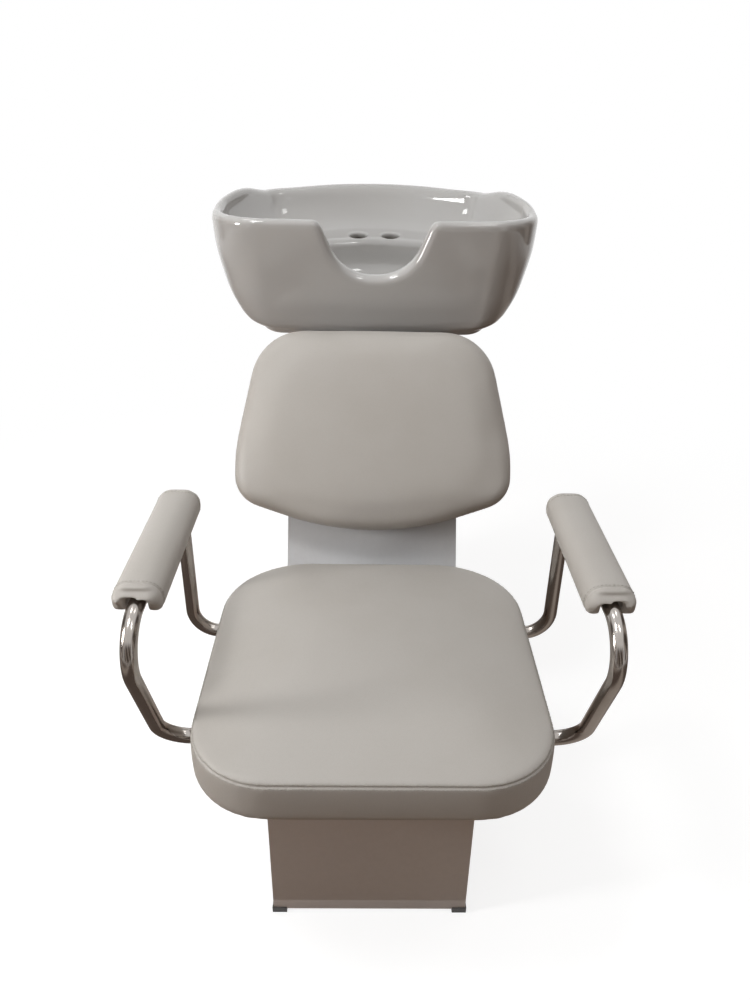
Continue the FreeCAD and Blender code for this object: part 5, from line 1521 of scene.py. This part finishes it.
class SALON_OT_stage(bpy.types.Operator):
    """Floor, studio light and dark cards that show only in reflections"""
    bl_idname = "salon.stage"
    bl_label = "Stage"

    def execute(self, context):
        self.floor()
        self.room_light(context)
        for number, (place, size, power) in enumerate(LAMPS):
            data = bpy.data.lights.new("lamp_" + str(number + 1), "AREA")
            data.shape = "RECTANGLE"
            data.size, data.size_y = size, size * 1.6
            data.energy = power
            data.color = (1.0, 0.998, 0.99)
            lamp = placed(data.name, data)
            lamp.location = place
            lamp.rotation_mode = "QUATERNION"
            lamp.rotation_quaternion = (LAMP_AIM - Vector(place)).to_track_quat("-Z", "Y")
        quarter = math.pi / 2
        self.card("card_front", (0, -3.4, 0.9), (4.2, 2.0), (quarter, 0, 0))
        self.card("card_left", (-3.0, -0.6, 0.9), (3.2, 1.9), (quarter, 0, quarter))
        self.card("card_right", (3.0, -0.2, 1.1), (3.2, 2.2), (quarter, 0, quarter))
        self.card("card_low", (0, -0.6, 0.03), (3.6, 3.4), (0, 0, 0), 1.7)
        context.scene.view_settings.view_transform = "Standard"
        return {"FINISHED"}

    def floor(self):
        """Floor that the camera sees white, with soft shadows, and that lights the chair only dimly."""
        floor = rectangle("floor", FLOOR_HALF, FLOOR_HALF)
        material, tree, shader = new_material("floor")
        set_shader(shader, Roughness=0.9, Base_Color=(0.36, 0.36, 0.36, 1.0), Emission_Strength=0.78,
                   Emission_Color=(1.0, 1.0, 1.0, 1.0), Specular_IOR_Level=0.0)
        dull = node(tree, "ShaderNodeBsdfDiffuse", Color=(0.21, 0.130, 0.078, 1.0))
        away = node(tree, "ShaderNodeVectorMath", operation="LENGTH")
        tree.links.new(object_coordinates(tree), away.inputs[0])
        plain = node(tree, "ShaderNodeEmission", Strength=1.0)
        seen = mixed_shaders(tree, ramp(tree, away.outputs["Value"], 0.8, 2.2), shader.outputs[0],
                             plain.outputs[0])
        both = mixed_shaders(tree, seen_directly(tree), dull.outputs[0], seen)
        tree.links.new(both, tree.nodes["Material Output"].inputs["Surface"])
        floor.data.materials.append(material)

    def room_light(self, context):
        """Soft light from above, weaker and warmer from the sides."""
        world = bpy.data.worlds.new("room")
        world.use_nodes = True
        tree = world.node_tree
        tree.nodes.clear()
        place = separated(tree, tree.nodes.new("ShaderNodeTexCoord").outputs["Generated"])
        height = ramp(tree, place["Z"], 0.0, 0.85)
        light = blend_colours(tree, height, (0.15, 0.108, 0.078), (0.52, 0.52, 0.52))
        soft = tree.nodes.new("ShaderNodeBackground")
        tree.links.new(light, soft.inputs["Color"])
        plain = node(tree, "ShaderNodeBackground", Strength=1.0, Color=(1, 1, 1, 1))
        both = mixed_shaders(tree, seen_directly(tree), soft.outputs[0], plain.outputs[0])
        out = tree.nodes.new("ShaderNodeOutputWorld")
        tree.links.new(both, out.inputs["Surface"])
        context.scene.world = world

    def card(self, name, place, size, turn, lift=1.0):
        """Dark board that only mirror rays see, as in a product studio."""
        wide, high = size
        card = rectangle(name, wide, high)
        card.location = place
        card.rotation_euler = turn
        material, tree, shader = new_material(name)
        set_shader(shader, Base_Color=(0, 0, 0, 1), Emission_Strength=1.0, Specular_IOR_Level=0.0)
        spot = separated(tree, object_coordinates(tree))
        beside = ramp(tree, maths(tree, "ABSOLUTE", spot["X"]), wide * 0.45, wide)
        beyond = ramp(tree, maths(tree, "ABSOLUTE", spot["Y"]), high * 0.40, high)
        fade = maths(tree, "MAXIMUM", beside, beyond)
        slant = maths(tree, "MULTIPLY_ADD", spot["X"], 3.4, maths(tree, "MULTIPLY", spot["Y"], 2.3))
        bands = ramp(tree, maths(tree, "SINE", slant), -0.2, 1.0)
        board = blend_colours(tree, bands, (0.075 * lift, 0.058 * lift, 0.049 * lift), (0.42, 0.37, 0.33))
        tree.links.new(blend_colours(tree, fade, board, (1.0, 1.0, 1.0)), shader.inputs["Emission Color"])
        card.data.materials.append(material)
        for kind in ("camera", "diffuse", "transmission", "shadow"):
            setattr(card, "visible_" + kind, False)


class SALON_PT_panel(bpy.types.Panel):
    """Buttons for each piece of the chair"""
    bl_idname = "SALON_PT_panel"
    bl_label = "Salon backwash chair"
    bl_space_type = "VIEW_3D"
    bl_region_type = "UI"
    bl_category = "Salon"

    def draw(self, context):
        for operator in OPERATORS:
            self.layout.operator(operator.bl_idname)
        for group in (sizes(), colours()):
            for name in group.bl_rna.properties.keys():
                if name not in ("rna_type", "name"):
                    self.layout.prop(group, name)


OPERATORS = (SALON_OT_camera, SALON_OT_stage, SALON_OT_stand, SALON_OT_seat_frame, SALON_OT_arm_tubes,
             SALON_OT_waste_fitting, SALON_OT_tilt_parts, SALON_OT_basin, SALON_OT_seat_cushion,
             SALON_OT_backrest_cushion, SALON_OT_arm_pads)
CLASSES = (SalonChairSizes, SalonChairColours) + OPERATORS + (SALON_PT_panel,)


def register():
    for made in CLASSES:
        bpy.utils.register_class(made)
    bpy.types.Scene.salon_chair_sizes = bpy.props.PointerProperty(type=SalonChairSizes)
    bpy.types.Scene.salon_chair_colours = bpy.props.PointerProperty(type=SalonChairColours)


def unregister():
    del bpy.types.Scene.salon_chair_colours
    del bpy.types.Scene.salon_chair_sizes
    for made in reversed(CLASSES):
        bpy.utils.unregister_class(made)


def main():
    register()
    bpy.ops.salon.camera()
    bpy.ops.salon.stage()
    bpy.ops.salon.stand()
    bpy.ops.salon.seat_frame()
    bpy.ops.salon.arm_tubes()
    bpy.ops.salon.waste_fitting()
    bpy.ops.salon.tilt_parts()
    bpy.ops.salon.basin()
    bpy.ops.salon.seat_cushion()
    bpy.ops.salon.backrest_cushion()
    bpy.ops.salon.arm_pads()


if __name__ == "__main__":
    main()
